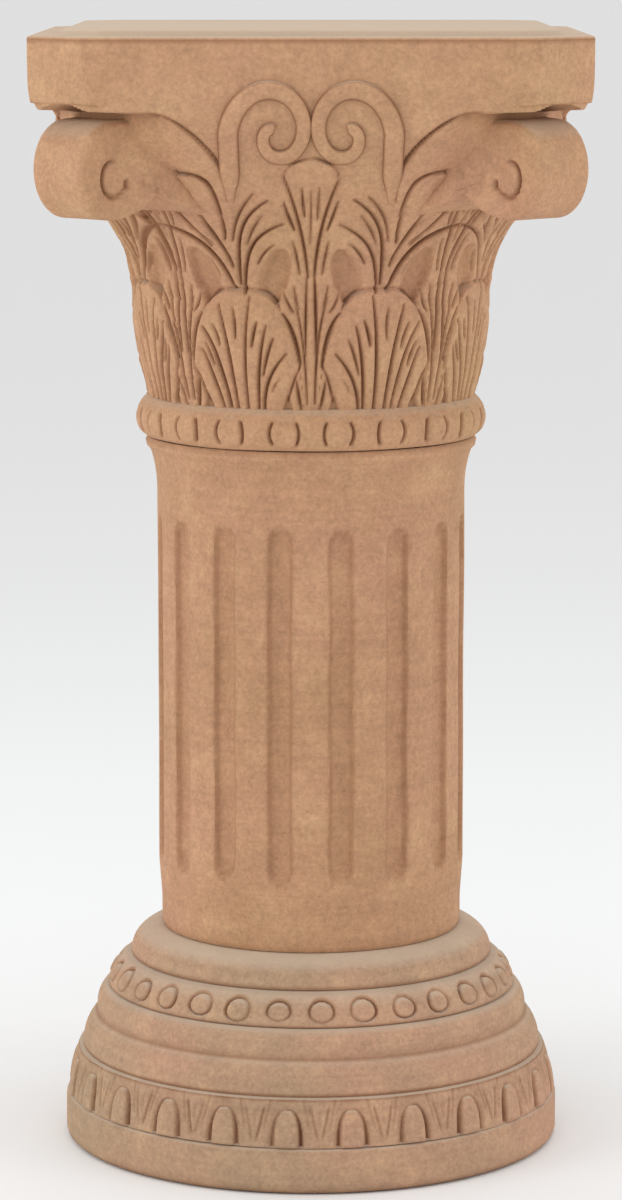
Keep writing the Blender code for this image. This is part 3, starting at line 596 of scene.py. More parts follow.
SHEATH_CUTS = (
    (0.8, *STEM_EDGE),
    (1.1, (-1.8, 72), (-2.4, 100), (-8.0, 108), (-15.0, 115)),
    (1.1, (-0.8, 77), (-0.2, 104), (-4.5, 120), (-11.6, 129)),
    (0.9, (-0.4, 104), (-2.2, 120), (-7.9, 132)),
    (0.7, (-4.4, 102), (-6.2, 112), (-9.9, 120)),
    (0.7, (-6.7, 90), (-8.4, 98), (-11.8, 101)),
    (1.1, (2.1, 104), (1.5, 111), (1.4, 121)),
    (1.3, (1.4, 119), (1.4, 141), (3.0, 146), (12.6, 146)),
    (1.3, (12.6, 146), (17.6, 139), (17.2, 128)),
    (1.0, (17.2, 128), (14.8, 121), (6.9, 101)),
    (0.8, (12.2, 141), (10.6, 132), (6.4, 118)),
    (1.0, (1.4, 88), (4.0, 106), (8.8, 118), (9.6, 134)),
    (1.1, (1.7, 74), (6.0, 96), (11.0, 109), (22.4, 112)),
    (0.6, (6.2, 82), (7.7, 88), (9.6, 94)),
    (0.6, (6.4, 101), (9.0, 107), (12.5, 112)),
)
# Rounded lobes of the sheaths, in degrees from the face's middle: root, bend, tip, widths and lift
SHEATH_LOBES = (
    ((26.0, 112), (29.0, 128), (34.0, 136), (5.0, 9.5), 3.4),
    ((25.0, 98), (30.0, 112), (37.0, 117), (3.0, 5.0), 2.0),
    ((20.5, 100), (17.0, 120), (12.0, 128), (3.0, 5.5), 1.8),
    ((19.0, 92), (15.0, 110), (9.0, 116), (3.0, 5.5), 1.8),
)
# Middle of the leaf or sheath that each set of cuts belongs to, in degrees from the face's middle
CARVINGS = ((HALFWAY, LOWER_CUTS), (0.0, UPPER_CUTS), (CORNER, UPPER_CUTS), (HALFWAY, SHEATH_CUTS))
# The stem's top edge near the corner, in degrees from the face's middle and millimetres
STEM_EDGE_END = ((39.5, 181.5), (44.5, 186.5))
# How far the stem lies behind the face over it, towards the corner
STEM_SET_BACK = 0.0130
# How far the hand slips from a cut's drawn corners, in degrees and millimetres
HAND_SLIP = (0.16, 0.6)
# Weakest and strongest pressure of the hand on a cut
HAND_PRESSURE = (0.8, 1.12)
# Shares of the groove's depth that a cut and its soft shoulders have
CUT_SHARE, SHOULDER_SHARE = 0.85, 0.42
# Painted shade in the cuts and in the recesses
CUT_SHADE, RECESS_SHADE = 1.35, 0.18


def soft_min(a, b, blend):
    """The smaller of two values, rounded off where they cross."""
    h = np.clip(0.5 + 0.5 * (b - a) / blend, 0.0, 1.0)
    return b * (1.0 - h) + a * h - blend * h * (1.0 - h)


def squared(half, reach, angle, blend=ARRIS_BLEND):
    """Radius of a square with cut corners, with softened arrises."""
    off = fold(angle)
    return soft_min(half / np.cos(off), reach / np.cos(QUARTER / 2.0 - off), blend)


def face_depth(z):
    """How far the ground lies from the axis at the middle of a face, as a smooth curve."""
    h = (z - RING_TOP) / MILLIMETRE
    shifts = np.linspace(-4.0, 4.0, 5)
    depths = [np.interp(h + shift, GROUND_HEIGHTS, GROUND_RADII) for shift in shifts]
    return sum(depths) / len(shifts) * MILLIMETRE


def on_square(a, h):
    """Degrees from a face's middle at which a place of the round bell lies where the bell is square."""
    share = smooth_step(SQUARE_FROM, SQUARE_TO, h)
    return a + (np.degrees(np.arctan(np.sin(np.radians(a)))) - a) * share


def stem_edge(a):
    """Height of the stem's top edge, and the degrees at which it starts."""
    path = curve_points(STEM_EDGE, 24)
    across = on_square(HALFWAY + path[:, 0], path[:, 1])
    first = np.argmin(across)
    ends = np.array(STEM_EDGE_END)
    places = np.append(across[first:], ends[:, 0])
    return np.interp(a, places, np.append(path[first:, 1], ends[:, 1])), places[0]


def ground_radius(angle, z):
    """Radius of the capital without its leaves: a round bell that turns into the square of the abacus."""
    a = np.degrees(fold(angle))
    h = (z - RING_TOP) / MILLIMETRE
    over = smooth_step(-0.7, 1.1, h - stem_edge(a)[0])
    set_back = STEM_SET_BACK * smooth_step(21.5, 37.0, a) * smooth_step(118.0, 140.0, h) * (1.0 - over)
    half = face_depth(z) - set_back
    share = smooth_step(SQUARE_FROM, SQUARE_TO, h)
    flush = ABACUS_REACH - ABACUS_TAPER - ABACUS_EDGE
    reach = half + np.maximum(COVE_REACH + (flush - COVE_REACH) * over - half, 0.0) * share
    sideways = smooth_step(0.72, 0.92, np.abs(np.sin(angle)))
    cut_back = SIDE_UNDERCUT * sideways * np.exp(-((h - SIDE_UNDERCUT_HEIGHT) / 9.0) ** 2)
    return half + (squared(half, reach, angle, COVE_BLEND) - half) * share - cut_back


def curve_points(corners, steps=14):
    """Points along a Bezier curve through its first and last corners."""
    t = np.linspace(0.0, 1.0, steps)[:, None]
    rows = [np.array(corner, dtype=float)[None, :] * np.ones_like(t) for corner in corners]
    while len(rows) > 1:
        rows = [a + (b - a) * t for a, b in zip(rows, rows[1:])]
    return rows[0]


def to_path(x, y, path):
    """Distance from places to a path, and the share of the path at the nearest point."""
    best = np.full(x.shape, np.inf)
    share = np.zeros(x.shape)
    last = len(path) - 1
    for i in range(last):
        start, run = path[i], path[i + 1] - path[i]
        t = np.clip(((x - start[0]) * run[0] + (y - start[1]) * run[1]) / max(run @ run, 1e-9), 0.0, 1.0)
        distance = np.hypot(x - start[0] - run[0] * t, y - start[1] - run[1] * t)
        nearer = distance < best
        best = np.where(nearer, distance, best)
        share = np.where(nearer, (i + t) / last, share)
    return best, share


class Carving:
    """Relief of the capital on a grid of columns round the axis and rows of height."""

    def __init__(self, columns, heights):
        """An uncut bell: cut is the grooves, shoulder their soft edges and mass the lobes."""
        self.columns = columns
        self.heights = heights
        self.cut = np.zeros((len(heights), columns))
        self.shoulder = np.zeros_like(self.cut)
        self.mass = np.zeros_like(self.cut)
        self.scale = np.interp(heights, GROUND_HEIGHTS, GROUND_RADII) * math.pi / 180.0

    def window(self, path, margin):
        """Rows and columns near a path, and the places there in millimetres."""
        low, high = path[:, 1].min() - margin, path[:, 1].max() + margin
        rows = np.nonzero((self.heights > low) & (self.heights < high))[0]
        step = 360.0 / self.columns
        first = int(math.floor((path[:, 0].min() - margin / 1.8) / step))
        last = int(math.ceil((path[:, 0].max() + margin / 1.8) / step))
        columns = np.arange(first, last + 1)
        across = columns[None, :] * step * self.scale[rows][:, None]
        up = np.broadcast_to(self.heights[rows][:, None], across.shape)
        return np.ix_(rows, columns % self.columns), across, up

    def in_millimetres(self, path):
        """A path of degrees and heights, with its degrees as millimetres round the bell."""
        scale = np.interp(path[:, 1], self.heights, self.scale)
        return np.stack([path[:, 0] * scale, path[:, 1]], axis=1)

    def add_cut(self, path, strength):
        """A groove that thins out towards its tip, with soft shoulders."""
        place, across, up = self.window(path, 6.0)
        distance, share = to_path(across, up, self.in_millimetres(path))
        taper = strength * (0.45 + 0.55 * np.sin(math.pi * np.clip(share * 0.8 + 0.14, 0.0, 1.0)))
        groove = taper * np.exp(-(distance / (0.62 + 0.25 * taper)) ** 2)
        shoulder = taper * np.exp(-(distance / 2.1) ** 2)
        self.cut[place] = np.maximum(self.cut[place], groove)
        self.shoulder[place] = np.maximum(self.shoulder[place], shoulder)

    def add_lobe(self, path, widths, lift):
        """A rounded lobe whose width and lift grow from root to tip."""
        place, across, up = self.window(path, max(widths) + 2.0)
        distance, share = to_path(across, up, self.in_millimetres(path))
        width = widths[0] + (widths[1] - widths[0]) * share
        body = np.sqrt(np.clip(1.0 - (distance / width) ** 2, 0.0, 1.0))
        self.mass[place] = np.maximum(self.mass[place], lift * (0.25 + 0.75 * share) * body)


def leaf_masses(angle, h):
    """Lift of the leaves over the ground in millimetres, and a mask of the recesses between them for painted
    shade.
    """
    a = np.degrees(fold(angle))
    across = np.abs(a - HALFWAY)
    leaf = np.minimum(a, CORNER - a)
    top = LOWER_HEIGHT * np.clip(1.0 - (across / LOWER_HALF_WIDTH) ** 3.2, 0.0, 1.0) ** 0.62
    inside = smooth_step(-1.2, 1.6, top - h)
    curl = np.exp(-((top - h - 9.0) / 9.0) ** 2)
    lower = inside * (LOWER_LIFT + LOWER_CURL * curl)
    width = np.interp(h, UPPER_HEIGHTS, UPPER_WIDTHS)
    stem = UPPER_LIFT * smooth_step(0.7, -0.5, leaf - width)
    stem = stem * smooth_step(UPPER_HEIGHT + 2.0, UPPER_HEIGHT - 2.0, h)
    middle = 13.2 - (h - 64.0) * 0.135
    flap = smooth_step(10.4, 8.8, leaf) * smooth_step(44.0, 58.0, h)
    flap = flap * smooth_step(79.0, 74.5, h + 0.3 * leaf)
    sheath = SHEATH_LIFT * smooth_step(0.0, 3.0, h - top) * smooth_step(150.0, 120.0, h)
    size = np.sqrt(np.clip(1.0 - ((h - 80.0) / 19.0) ** 2, 0.0, 1.0))
    edge = np.where(leaf > middle, 1.9, 0.6)
    recess = smooth_step(edge, -0.7 * edge - 0.5, np.abs(leaf - middle) - 4.2 * size) * (size > 0.0)
    recess = recess * (1.0 - 0.9 * inside) * (1.0 - 0.85 * flap)
    foot = smooth_step(0.5, -0.5, np.abs(leaf - 7.8) - 1.7 * (1.0 - h / 10.0)) * (h > 0.0) * (h < 10.0)
    lift = np.maximum(np.maximum(lower, stem), np.maximum(FLAP_LIFT * flap, sheath))
    lift = lift - RECESS_DEPTH * recess - FOOT_DEPTH * foot
    return lift, np.clip(recess + foot, 0.0, 1.0)


def carve_capital(sizes, columns, heights):
    """Relief in metres and painted shade mask of everything that is cut into the bell."""
    rng = np.random.default_rng(7)
    carving = Carving(columns, heights)
    for face in range(4):
        for side in (-1.0, 1.0):
            for middle, cuts in CARVINGS:
                for strength, *corners in cuts:
                    slips = rng.normal(0.0, HAND_SLIP, (len(corners), 2))
                    path = curve_points(np.array(corners) + slips)
                    across = middle - path[:, 0] if middle == CORNER else middle + path[:, 0]
                    if middle == HALFWAY:
                        across = on_square(across, path[:, 1])
                    placed = np.stack([90.0 * face + side * across, path[:, 1]], axis=1)
                    carving.add_cut(placed, strength * rng.uniform(*HAND_PRESSURE))
            for root, bend, tip, widths, lift in SHEATH_LOBES:
                path = curve_points((root, bend, tip))
                across = on_square(path[:, 0], path[:, 1])
                placed = np.stack([90.0 * face + side * across, path[:, 1]], axis=1)
                carving.add_lobe(placed, widths, lift)
    angle = around(columns)[None, :]
    h = heights[:, None]
    lift, recess = leaf_masses(angle, h)
    lift = lift + carving.mass + stem_lift(angle, h)
    depth = sizes.groove / MILLIMETRE
    relief = lift - depth * (CUT_SHARE * carving.cut + SHOULDER_SHARE * carving.shoulder)
    # Painted shade in the cuts and the recesses
    painted_shade = np.clip(carving.cut * CUT_SHADE, 0.0, 1.0) + RECESS_SHADE * recess
    return relief * MILLIMETRE, painted_shade


def stem_lift(angle, h):
    """The band that leaves a sheath for the corner scroll, a little proud where it starts."""
    a = np.degrees(fold(angle))
    edge, first = stem_edge(a)
    under = smooth_step(-0.7, 1.1, edge - h)
    start = smooth_step(first - 0.4, first + 1.2, a) * smooth_step(32.0, 25.0, a)
    return STEM_LIFT * under * start * smooth_step(118.0, 140.0, h)


# Painted shade along the line under the abacus's upper edge, and how near a row lies to it
TOP_EDGE_SHADE = 0.65
TOP_EDGE_SHADE_REACH = 0.0004


def abacus_rows(angle):
    """(radius, z) rows of the abacus over the cove, with rounded edges."""
    edge, top_edge = ABACUS_EDGE, ABACUS_TOP_EDGE
    rows = []
    for t in np.linspace(0.0, 1.0, 6):
        a = QUARTER * t
        inset = edge * (1.0 - math.sin(a))
        z = ABACUS_LEDGE + edge * (1.0 - math.cos(a))
        rows.append((squared(face_depth(z), ABACUS_REACH - ABACUS_TAPER - inset, angle), z))
    low = rows[-1][1]
    for t in np.linspace(0.1, 1.0, 12):
        z = low + (ABACUS_TOP - top_edge - low) * t
        rows.append((squared(face_depth(z), ABACUS_REACH - ABACUS_TAPER * (1.0 - t) ** 1.5, angle), z))
    for t in np.linspace(0.25, 1.0, 4):
        a = QUARTER * t
        inset = top_edge * (1.0 - math.cos(a))
        z = ABACUS_TOP - top_edge + top_edge * math.sin(a)
        rows.append((squared(ABACUS_HALF - inset, ABACUS_REACH - inset, angle), z))
    return rows


def build_body(sizes, material):
    """The carved bell with its cove and abacus, one closed piece to each face of the square."""
    columns = 4 * sizes.columns
    angle = around(columns)
    heights = np.linspace(-2.0, 186.0, sizes.rows)
    z = RING_TOP + heights * MILLIMETRE
    relief, painted_shade = carve_capital(sizes, columns, heights)
    wobble = hand_wobble(angle[None, :], z[:, None], *BELL_WOBBLE)
    relief = relief + wobble * smooth_step(150.0, 120.0, heights)[:, None]
    radius = ground_radius(angle[None, :], z[:, None]) + relief
    limit = squared(ABACUS_HALF, ABACUS_REACH, angle)[None, :] - 0.0002
    radius = np.minimum(radius, limit)
    for row, row_z in abacus_rows(angle):
        radius = np.concatenate([radius, row[None, :]])
        z = np.append(z, row_z)
        # A painted shade line under the abacus's upper edge
        under_edge = abs(row_z - ABACUS_TOP + ABACUS_TOP_EDGE) < TOP_EDGE_SHADE_REACH
        painted_shade = np.concatenate([painted_shade, np.full((1, columns), TOP_EDGE_SHADE if under_edge else 0.0)])
    points = to_space(radius, angle[None, :], z[:, None])
    back_z = np.array([z[-1], z[0]])
    points = np.concatenate([points, to_space(BACKING_RADIUS, angle[None, :], back_z[:, None])])
    painted_shade = np.concatenate([painted_shade, np.ones((2, columns))])
    for face in range(4):
        picked = (np.arange(sizes.columns + 1) - sizes.columns // 2 + face * sizes.columns) % columns
        sector = points[:, picked].transpose(1, 0, 2)
        piece = swept_piece(f"carved_face_{face + 1}", sector, painted_shade[:, picked].T, material)
        dress(piece, "capital")


def swept_piece(name, points, painted_shades, material):
    """A closed piece from sections that follow one another, with flat ends."""
    sections, corners = points.shape[:2]
    faces = quad_faces(sections, corners)
    faces.append(tuple(range(corners)))
    faces.append(tuple(range(sections * corners - 1, (sections - 1) * corners - 1, -1)))
    return new_piece(name, points, faces, painted_shades, material)


SEAT_COLUMNS = 360
# How much painted top light lies on the seat, making it pale as though lit from above
SEAT_PAINTED_TOP_LIGHT = 0.9


def build_seat(material):
    """The low seat on the abacus."""
    angle = around(SEAT_COLUMNS)
    rows = []
    for inset, z in ((SEAT_INSET + 0.0100, ABACUS_TOP - 0.0060), (SEAT_INSET - 0.0006, ABACUS_TOP - 0.0004),
                     (SEAT_INSET, ABACUS_TOP + 0.0006), (SEAT_INSET + 0.0002, CAPITAL_TOP - 0.0014),
                     (SEAT_INSET + 0.0007, CAPITAL_TOP - 0.0005), (SEAT_INSET + 0.0018, CAPITAL_TOP)):
        rows.append(to_space(squared(ABACUS_HALF - inset, ABACUS_REACH - inset, angle), angle, z))
    points = np.array(rows)
    seat = round_piece("seat", points, np.zeros(points.shape[:2]), material)
    # Painted top light on the whole seat
    painted_top_light = seat.data.attributes.new("painted_top_light", "FLOAT", "POINT")
    painted_top_light.data.foreach_set("value", np.full(len(seat.data.vertices), SEAT_PAINTED_TOP_LIGHT, dtype=np.float32))
    return dress(seat, "capital")


RING_SPACING, RING_COLUMNS = 0.0011, 960
# Mean radius and middle of the beads, and how far each bead's two marks bow from its middle
RING_RADIUS = 0.1085
RING_MIDDLE = CAPITAL_BOTTOM + 0.0112
RING_BOW = 0.0090
# How far the beads of the ring stand proud, and how deep their marks are
RING_BEAD_RISE, RING_MARK_CUT = 0.0007, 0.0024


def build_ring(sizes, material):
    """The bead ring under the leaves."""
    line = [(0.0990, CAPITAL_BOTTOM), (0.1032, CAPITAL_BOTTOM + 0.0004)]
    line += swelling((0.1046, CAPITAL_BOTTOM + 0.0012), (0.1042, RING_TOP - 0.0012), 0.0050, steps=16)
    line += [(0.1030, RING_TOP + 0.0002), (0.0975, RING_TOP + 0.0012)]
    radius, z, normal_r, normal_z = along_profile(line, RING_SPACING)
    angle = around(RING_COLUMNS)
    pitch = TURN / sizes.ring_beads
    number = np.floor(angle / pitch)
    local = (angle % pitch) - pitch / 2.0
    s = (local * RING_RADIUS + 0.0006 * np.sin(number * 2.9))[None, :]
    h = (z - RING_MIDDLE)[:, None]
    bow = RING_BOW * np.sqrt(np.clip(1.0 - (h / 0.0125) ** 2, 0.05, 1.0))
    marks = soft_ring(np.abs(s), bow, 0.0010) * smooth_step(0.0084, 0.0066, np.abs(h))
    inside = smooth_step(0.0, 0.003, bow - np.abs(s)) * smooth_step(0.0100, 0.0060, np.abs(h))
    relief = RING_BEAD_RISE * inside - RING_MARK_CUT * marks
    relief = relief + hand_wobble(angle[None, :], z[:, None], *RING_WOBBLE)
    r = radius[:, None] + relief * normal_r[:, None]
    height = np.clip(z[:, None] + relief * normal_z[:, None], CAPITAL_BOTTOM, None)
    # The bead marks also carry painted shade
    piece = round_piece("bead_ring", to_space(r, angle, height), marks, material)
    return dress(piece, "capital")


def gather(name, shells, material):
    """One piece from many closed shells."""
    points, faces, masks = [], [], []
    offset = 0
    for shell_points, shell_faces, shell_masks in shells:
        points.append(shell_points)
        faces += [tuple(corner + offset for corner in face) for face in shell_faces]
        masks.append(shell_masks)
        offset += len(shell_points)
    piece = new_piece(name, np.concatenate(points), faces, np.concatenate(masks), material)
    return dress(piece, "capital")


def turn_faces(shell, side):
    """Mirrored shells keep their faces pointing out."""
    points, faces, masks = shell
    if side < 0:
        faces = [tuple(reversed(face)) for face in faces]
    return points, faces, masks


# Capital: the scrolls

# Half thickness of the scroll by distance from the axis
HALF_REACH = (0.0900, 0.1200, 0.1385, 0.1570, 0.1680, 0.1780, 0.1870, 0.2200)
HALF_THICKNESS = (0.0560, 0.0450, 0.0425, 0.0385, 0.0330, 0.0265, 0.0228, 0.0216)
# Half the roll's height, and the depth of its outer half, which is an ellipse from the side
SCROLL_RISE = 0.0295
SCROLL_DEPTH = 0.0250
# Middle of the roll as distance from the axis and height, and height at which the stem leaves the bell
SCROLL_EYE = (0.1880, ABACUS_BOTTOM - 0.0356)
SCROLL_SPRING = RING_TOP + 0.1380
# Top line of the stem: distance from the axis, and height under the abacus
STEM_REACH = (0.1200, 0.1250, 0.1320, 0.1385, 0.1460, 0.1570, 0.1700, 0.1880)
STEM_UNDER = (0.0445, 0.0345, 0.0262, 0.0207, 0.0140, 0.0080, 0.0056, 0.0061)
# The cut round the roll's eye: how far it lies under the roll's middle, and half its width and height
EYE_DROP = 0.0050
EYE_WIDE = 0.0080
EYE_TALL = 0.0106
# Rounding of the sides' edges, and dish of the roll's face
SCROLL_SOFT = 0.0042
SCROLL_DISH = 0.0006
# Distance from the axis at which a scroll ends inside the bell
SCROLL_BURIED = 0.0900
# How far the eye's boss stands proud, and how deep the cuts of the scroll's side are
SCROLL_BOSS, SCROLL_CUT = 0.0007, 0.0030
# Fineness of the mesh: points round the side view, and rings from its middle to its edge
SCROLL_POINTS = 120
SCROLL_RINGS = 36


def scroll_outline(count):
    """Side view of a corner scroll as (distance from the axis, z), from the roll's top round to the stem."""
    line = []
    for degrees in np.linspace(90.0, -150.0, 60):
        a = math.radians(degrees)
        wide = SCROLL_DEPTH if degrees > -90.0 else SCROLL_RISE
        line.append((SCROLL_EYE[0] + wide * math.cos(a), SCROLL_EYE[1] + SCROLL_RISE * math.sin(a)))
    low_r, low_z = line[-1]
    for t in np.linspace(0.1, 1.0, 12):
        z = low_z + (SCROLL_SPRING - 0.0300 - low_z) * t ** 0.8
        line.append((low_r + (SCROLL_BURIED - low_r) * t, z))
    line.append((SCROLL_BURIED, SCROLL_SPRING - 0.010))
    for reach in np.linspace(STEM_REACH[0], STEM_REACH[-1], 30):
        unders = [np.interp(reach + shift, STEM_REACH, STEM_UNDER) for shift in (-0.003, 0.0, 0.003)]
        line.append((reach, ABACUS_BOTTOM - sum(unders) / 3.0))
    line = np.array(line)
    runs = np.hypot(*np.diff(line, axis=0).T)
    length = np.concatenate([[0.0], np.cumsum(runs)])
    where = np.linspace(0.0, length[-1], count, endpoint=False)
    return np.interp(where, length, line[:, 0]), np.interp(where, length, line[:, 1])


def scroll_half(reach):
    """Half the thickness of a corner scroll, which spreads as its stem comes down to the bell."""
    shifts = (-0.004, -0.002, 0.0, 0.002, 0.004)
    return sum(np.interp(reach + shift, HALF_REACH, HALF_THICKNESS) for shift in shifts) / len(shifts)


def scroll_rings():
    """Rings of a corner scroll as (distance from the axis, place across it, z), with their painted shade
    masks.
    """
    outline_r, outline_z = scroll_outline(SCROLL_POINTS)
    eye_r, eye_z = SCROLL_EYE
    shrink = 1.0 - SCROLL_SOFT / SCROLL_RISE
    side, side_masks = [], []
    for share in np.geomspace(0.02, 1.0, SCROLL_RINGS) * shrink:
        r, z = eye_r + (outline_r - eye_r) * share, eye_z + (outline_z - eye_z) * share
        relief, painted_shade = scroll_side(r - eye_r, z - eye_z)
        side.append(np.stack([r, scroll_half(r) + relief, z], axis=-1))
        side_masks.append(painted_shade)
    for step in range(1, 6):
        a = QUARTER * step / 5
        share = shrink + (1.0 - shrink) * math.sin(a)
        r, z = eye_r + (outline_r - eye_r) * share, eye_z + (outline_z - eye_z) * share
        side.append(np.stack([r, scroll_half(r) - SCROLL_SOFT * (1.0 - math.cos(a)), z], axis=-1))
        side_masks.append(np.zeros(SCROLL_POINTS))
    face = []
    for step in np.linspace(0.85, -0.85, 14):
        wide = (scroll_half(outline_r) - SCROLL_SOFT) * step
        dish = SCROLL_DISH * (1.0 - step * step)
        face.append(np.stack([outline_r - dish * (outline_r > eye_r), wide, outline_z], axis=-1))
    other_side = [ring * (1.0, -1.0, 1.0) for ring in reversed(side)]
    face_masks = [np.zeros(SCROLL_POINTS)] * len(face)
    return np.array(side + face + other_side), np.array(side_masks + face_masks + side_masks[::-1])


def build_corner_scrolls(material):
    """The four corner scrolls."""
    rings, masks = scroll_rings()
    reach, across, z = rings[..., 0], rings[..., 1], rings[..., 2]
    shells = []
    for number in range(4):
        turn = QUARTER / 2.0 + number * QUARTER
        x = reach * math.sin(turn) + across * math.cos(turn)
        y = -reach * math.cos(turn) + across * math.sin(turn)
        shells.append(closed_shell(np.stack([x, y, z], axis=-1), masks))
    return gather("corner_scrolls", shells, material)


def scroll_side(r, z):
    """Cuts on the side of a corner scroll: an open ring round its eye, a hook and two valleys behind it."""
    tall = z + EYE_DROP
    share = np.hypot(r / EYE_WIDE, tall / EYE_TALL)
    angle = np.arctan2(tall / EYE_TALL, r / EYE_WIDE)
    seen = smooth_step(-2.9, -2.6, angle) * smooth_step(1.95, 1.5, angle)
    heavy = 0.62 + 0.38 * np.cos(angle + 0.35)
    ring = heavy * seen * np.exp(-((share - 1.0) * EYE_WIDE / 0.0009) ** 2)
    hook = 0.7 * np.exp(-((r + 0.0082) / 0.0012) ** 2)
    hook = hook * smooth_step(-0.0075, -0.0050, tall) * smooth_step(0.0010, -0.0020, tall)
    stroke = 0.30 * np.exp(-((r + 0.0168) / 0.0026) ** 2)
    stroke = stroke * smooth_step(-0.0130, -0.0060, tall) * smooth_step(0.0100, 0.0030, tall)
    second = 0.30 * np.exp(-((r + 0.0262 + 0.2 * tall) / 0.0030) ** 2)
    second = second * smooth_step(-0.0200, -0.0110, tall) * smooth_step(0.0110, 0.0030, tall)
    cut = np.maximum(ring, hook)
    valley = np.maximum(stroke, second)
    boss = smooth_step(1.0, 0.4, share)
    relief = SCROLL_BOSS * boss - SCROLL_CUT * np.maximum(cut, valley)
    # The second value is painted shade in the cuts and valleys
    return relief, np.clip(cut * 1.5, 0.0, 1.0) + 0.5 * valley


# Place of a helix's eye, and the outer and inner radius at which its spiral starts
HELIX_EYE_X = 0.0212
HELIX_EYE_Z = ABACUS_BOTTOM - 0.0141
HELIX_OUTER = 0.0340
HELIX_INNER = 0.0215
# How far it stands proud of the ground, how deep its back lies, and how much taller than wide it is
HELIX_PROUD = CAPITAL_HIGH.x - ABACUS_HALF
HELIX_BURIED = 0.0040
HELIX_STRETCH = 1.18
# Height of the stalk under the turns, and half its width at its foot and at its top
HELIX_STALK = 0.0424
HELIX_STALK_FOOT = 0.0022
HELIX_STALK_TOP = 0.0062
# Rings along a helix
HELIX_POINTS = 108
# Painted shade along the band's edges, from the edge inwards
HELIX_EDGE_SHADE = (1.0, 0.9, 0.5, 0.15)


def ground_depth(x, z, turn):
    """How far in front of the axis the capital's ground lies at a place of a face, turned by an angle."""
    depth = np.full_like(x, ABACUS_HALF)
    for _ in range(8):
        radius = ground_radius(np.arctan2(x, depth) + turn, z)
        depth = np.sqrt(np.maximum(radius ** 2 - x ** 2, 1e-6))
    return depth


def helix_path(count):
    """Centre line, half width and share of a helix as (x, z), from the foot of its stalk to its eye."""
    foot = np.linspace(0.0, 1.0, count // 4, endpoint=False)
    stalk_x = -HELIX_OUTER + 0.0063 + 0.0012 * (1.0 - foot)
    stalk_z = -HELIX_STALK * (1.0 - foot)
    stalk_half = HELIX_STALK_FOOT + (HELIX_STALK_TOP - HELIX_STALK_FOOT) * smooth_step(0.0, 0.45, foot)
    turns = np.linspace(0.0, 1.22, count - len(foot))
    outer = HELIX_OUTER * (1.0 - 0.80 * turns + 0.10 * turns ** 2)
    inner = HELIX_INNER * np.clip(1.0 - 0.88 * turns, 0.02, 1.0)
    angle = math.pi - TURN * turns
    middle = (outer + inner) / 2.0
    x = np.concatenate([stalk_x, middle * np.cos(angle)])
    z = np.concatenate([stalk_z, middle * HELIX_STRETCH * np.sin(angle)])
    half = np.concatenate([stalk_half, (outer - inner) / 2.0])
    return x, z, half


def helix_rings(turn):
    """Rings of a helix on a face turned by an angle, as (x, z, distance in front of the axis)."""
    x, z, half = helix_path(HELIX_POINTS)
    step_x, step_z = np.gradient(x), np.gradient(z)
    size = np.hypot(step_x, step_z)
    around_band = np.linspace(0.0, math.pi, 19)
    wide = half[:, None] * np.cos(around_band)
    rise = np.sin(around_band) ** 0.55
    at_x = x[:, None] - (step_z / size)[:, None] * wide
    at_z = HELIX_EYE_Z + z[:, None] + (step_x / size)[:, None] * wide * 1.05
    rings = []
    for band_x, band_z in zip(at_x, at_z):
        behind = ground_depth(HELIX_EYE_X - band_x, band_z, turn)
        front = behind + HELIX_PROUD - (HELIX_PROUD + 0.0006) * (1.0 - rise)
        front[[0, -1]] = behind[[0, -1]] - HELIX_BURIED
        back_x = np.linspace(band_x[-1], band_x[0], 5)[1:-1]
        back_z = np.linspace(band_z[-1], band_z[0], 5)[1:-1]
        order = np.argsort(band_x)
        back = np.interp(back_x, band_x[order], behind[order]) - HELIX_BURIED
        ring = [np.concatenate(pair) for pair in ((band_x, back_x), (band_z, back_z), (front, back))]
        rings.append(np.stack(ring, axis=-1))
    return np.array(rings)


def build_helices(material):
    """The pair of helices on each face."""
    shells = []
    for face in range(4):
        turn = face * QUARTER
        rings = helix_rings(turn)
        # Painted shade along the band's edges and on its buried back
        masks = np.zeros(rings.shape[:2])
        masks[:, 0] = 1.0
        masks[:, 18:] = 1.0
        for step, edge_shade in enumerate(HELIX_EDGE_SHADE):
            masks[:, 1 + step] = edge_shade
            masks[:, 17 - step] = edge_shade
        for side in (-1.0, 1.0):
            across, front = side * (HELIX_EYE_X - rings[..., 0]), rings[..., 2]
            x = across * math.cos(turn) + front * math.sin(turn)
            y = across * math.sin(turn) - front * math.cos(turn)
            points = np.stack([x, y, rings[..., 1]], axis=-1)
            shells.append(turn_faces(closed_shell(points, masks), side))
    return gather("helices", shells, material)


# Clay

PINK_CLAY = (0.560, 0.285, 0.190, 1.0)
STRAW_CLAY = (0.580, 0.375, 0.205, 1.0)
# How strongly each casting shows the lines of its turning
BASE_TURNING = 0.50
SHAFT_TURNING = 0.45
# Strength of the masks: painted shade in carved hollows and in crevices, and specks
PAINTED_SHADE_DARKNESS = 0.92
CREVICE_SHADE_DARKNESS = 0.44
CREVICE_SHADE_REACH = 0.009
SPECK_AMOUNT = 0.6
SPECK_DARKNESS = 0.55
CLAY_GLOSS = 0.22
GRAIN_STRENGTH = 0.60
GRAIN_HEIGHT = 0.0006


def link(tree, a, b):
    """Joins an output to an input."""
    tree.links.new(a, b)


def set_input(tree, socket, value):
    """Gives an input a number, a colour or another node's output."""
    if isinstance(value, (float, tuple)):
        socket.default_value = value
    else:
        link(tree, value, socket)


def node(tree, kind, **values):
    """A new node with its settings."""
    item = tree.nodes.new(kind)
    for key, value in values.items():
        setattr(item, key, value)
    return item


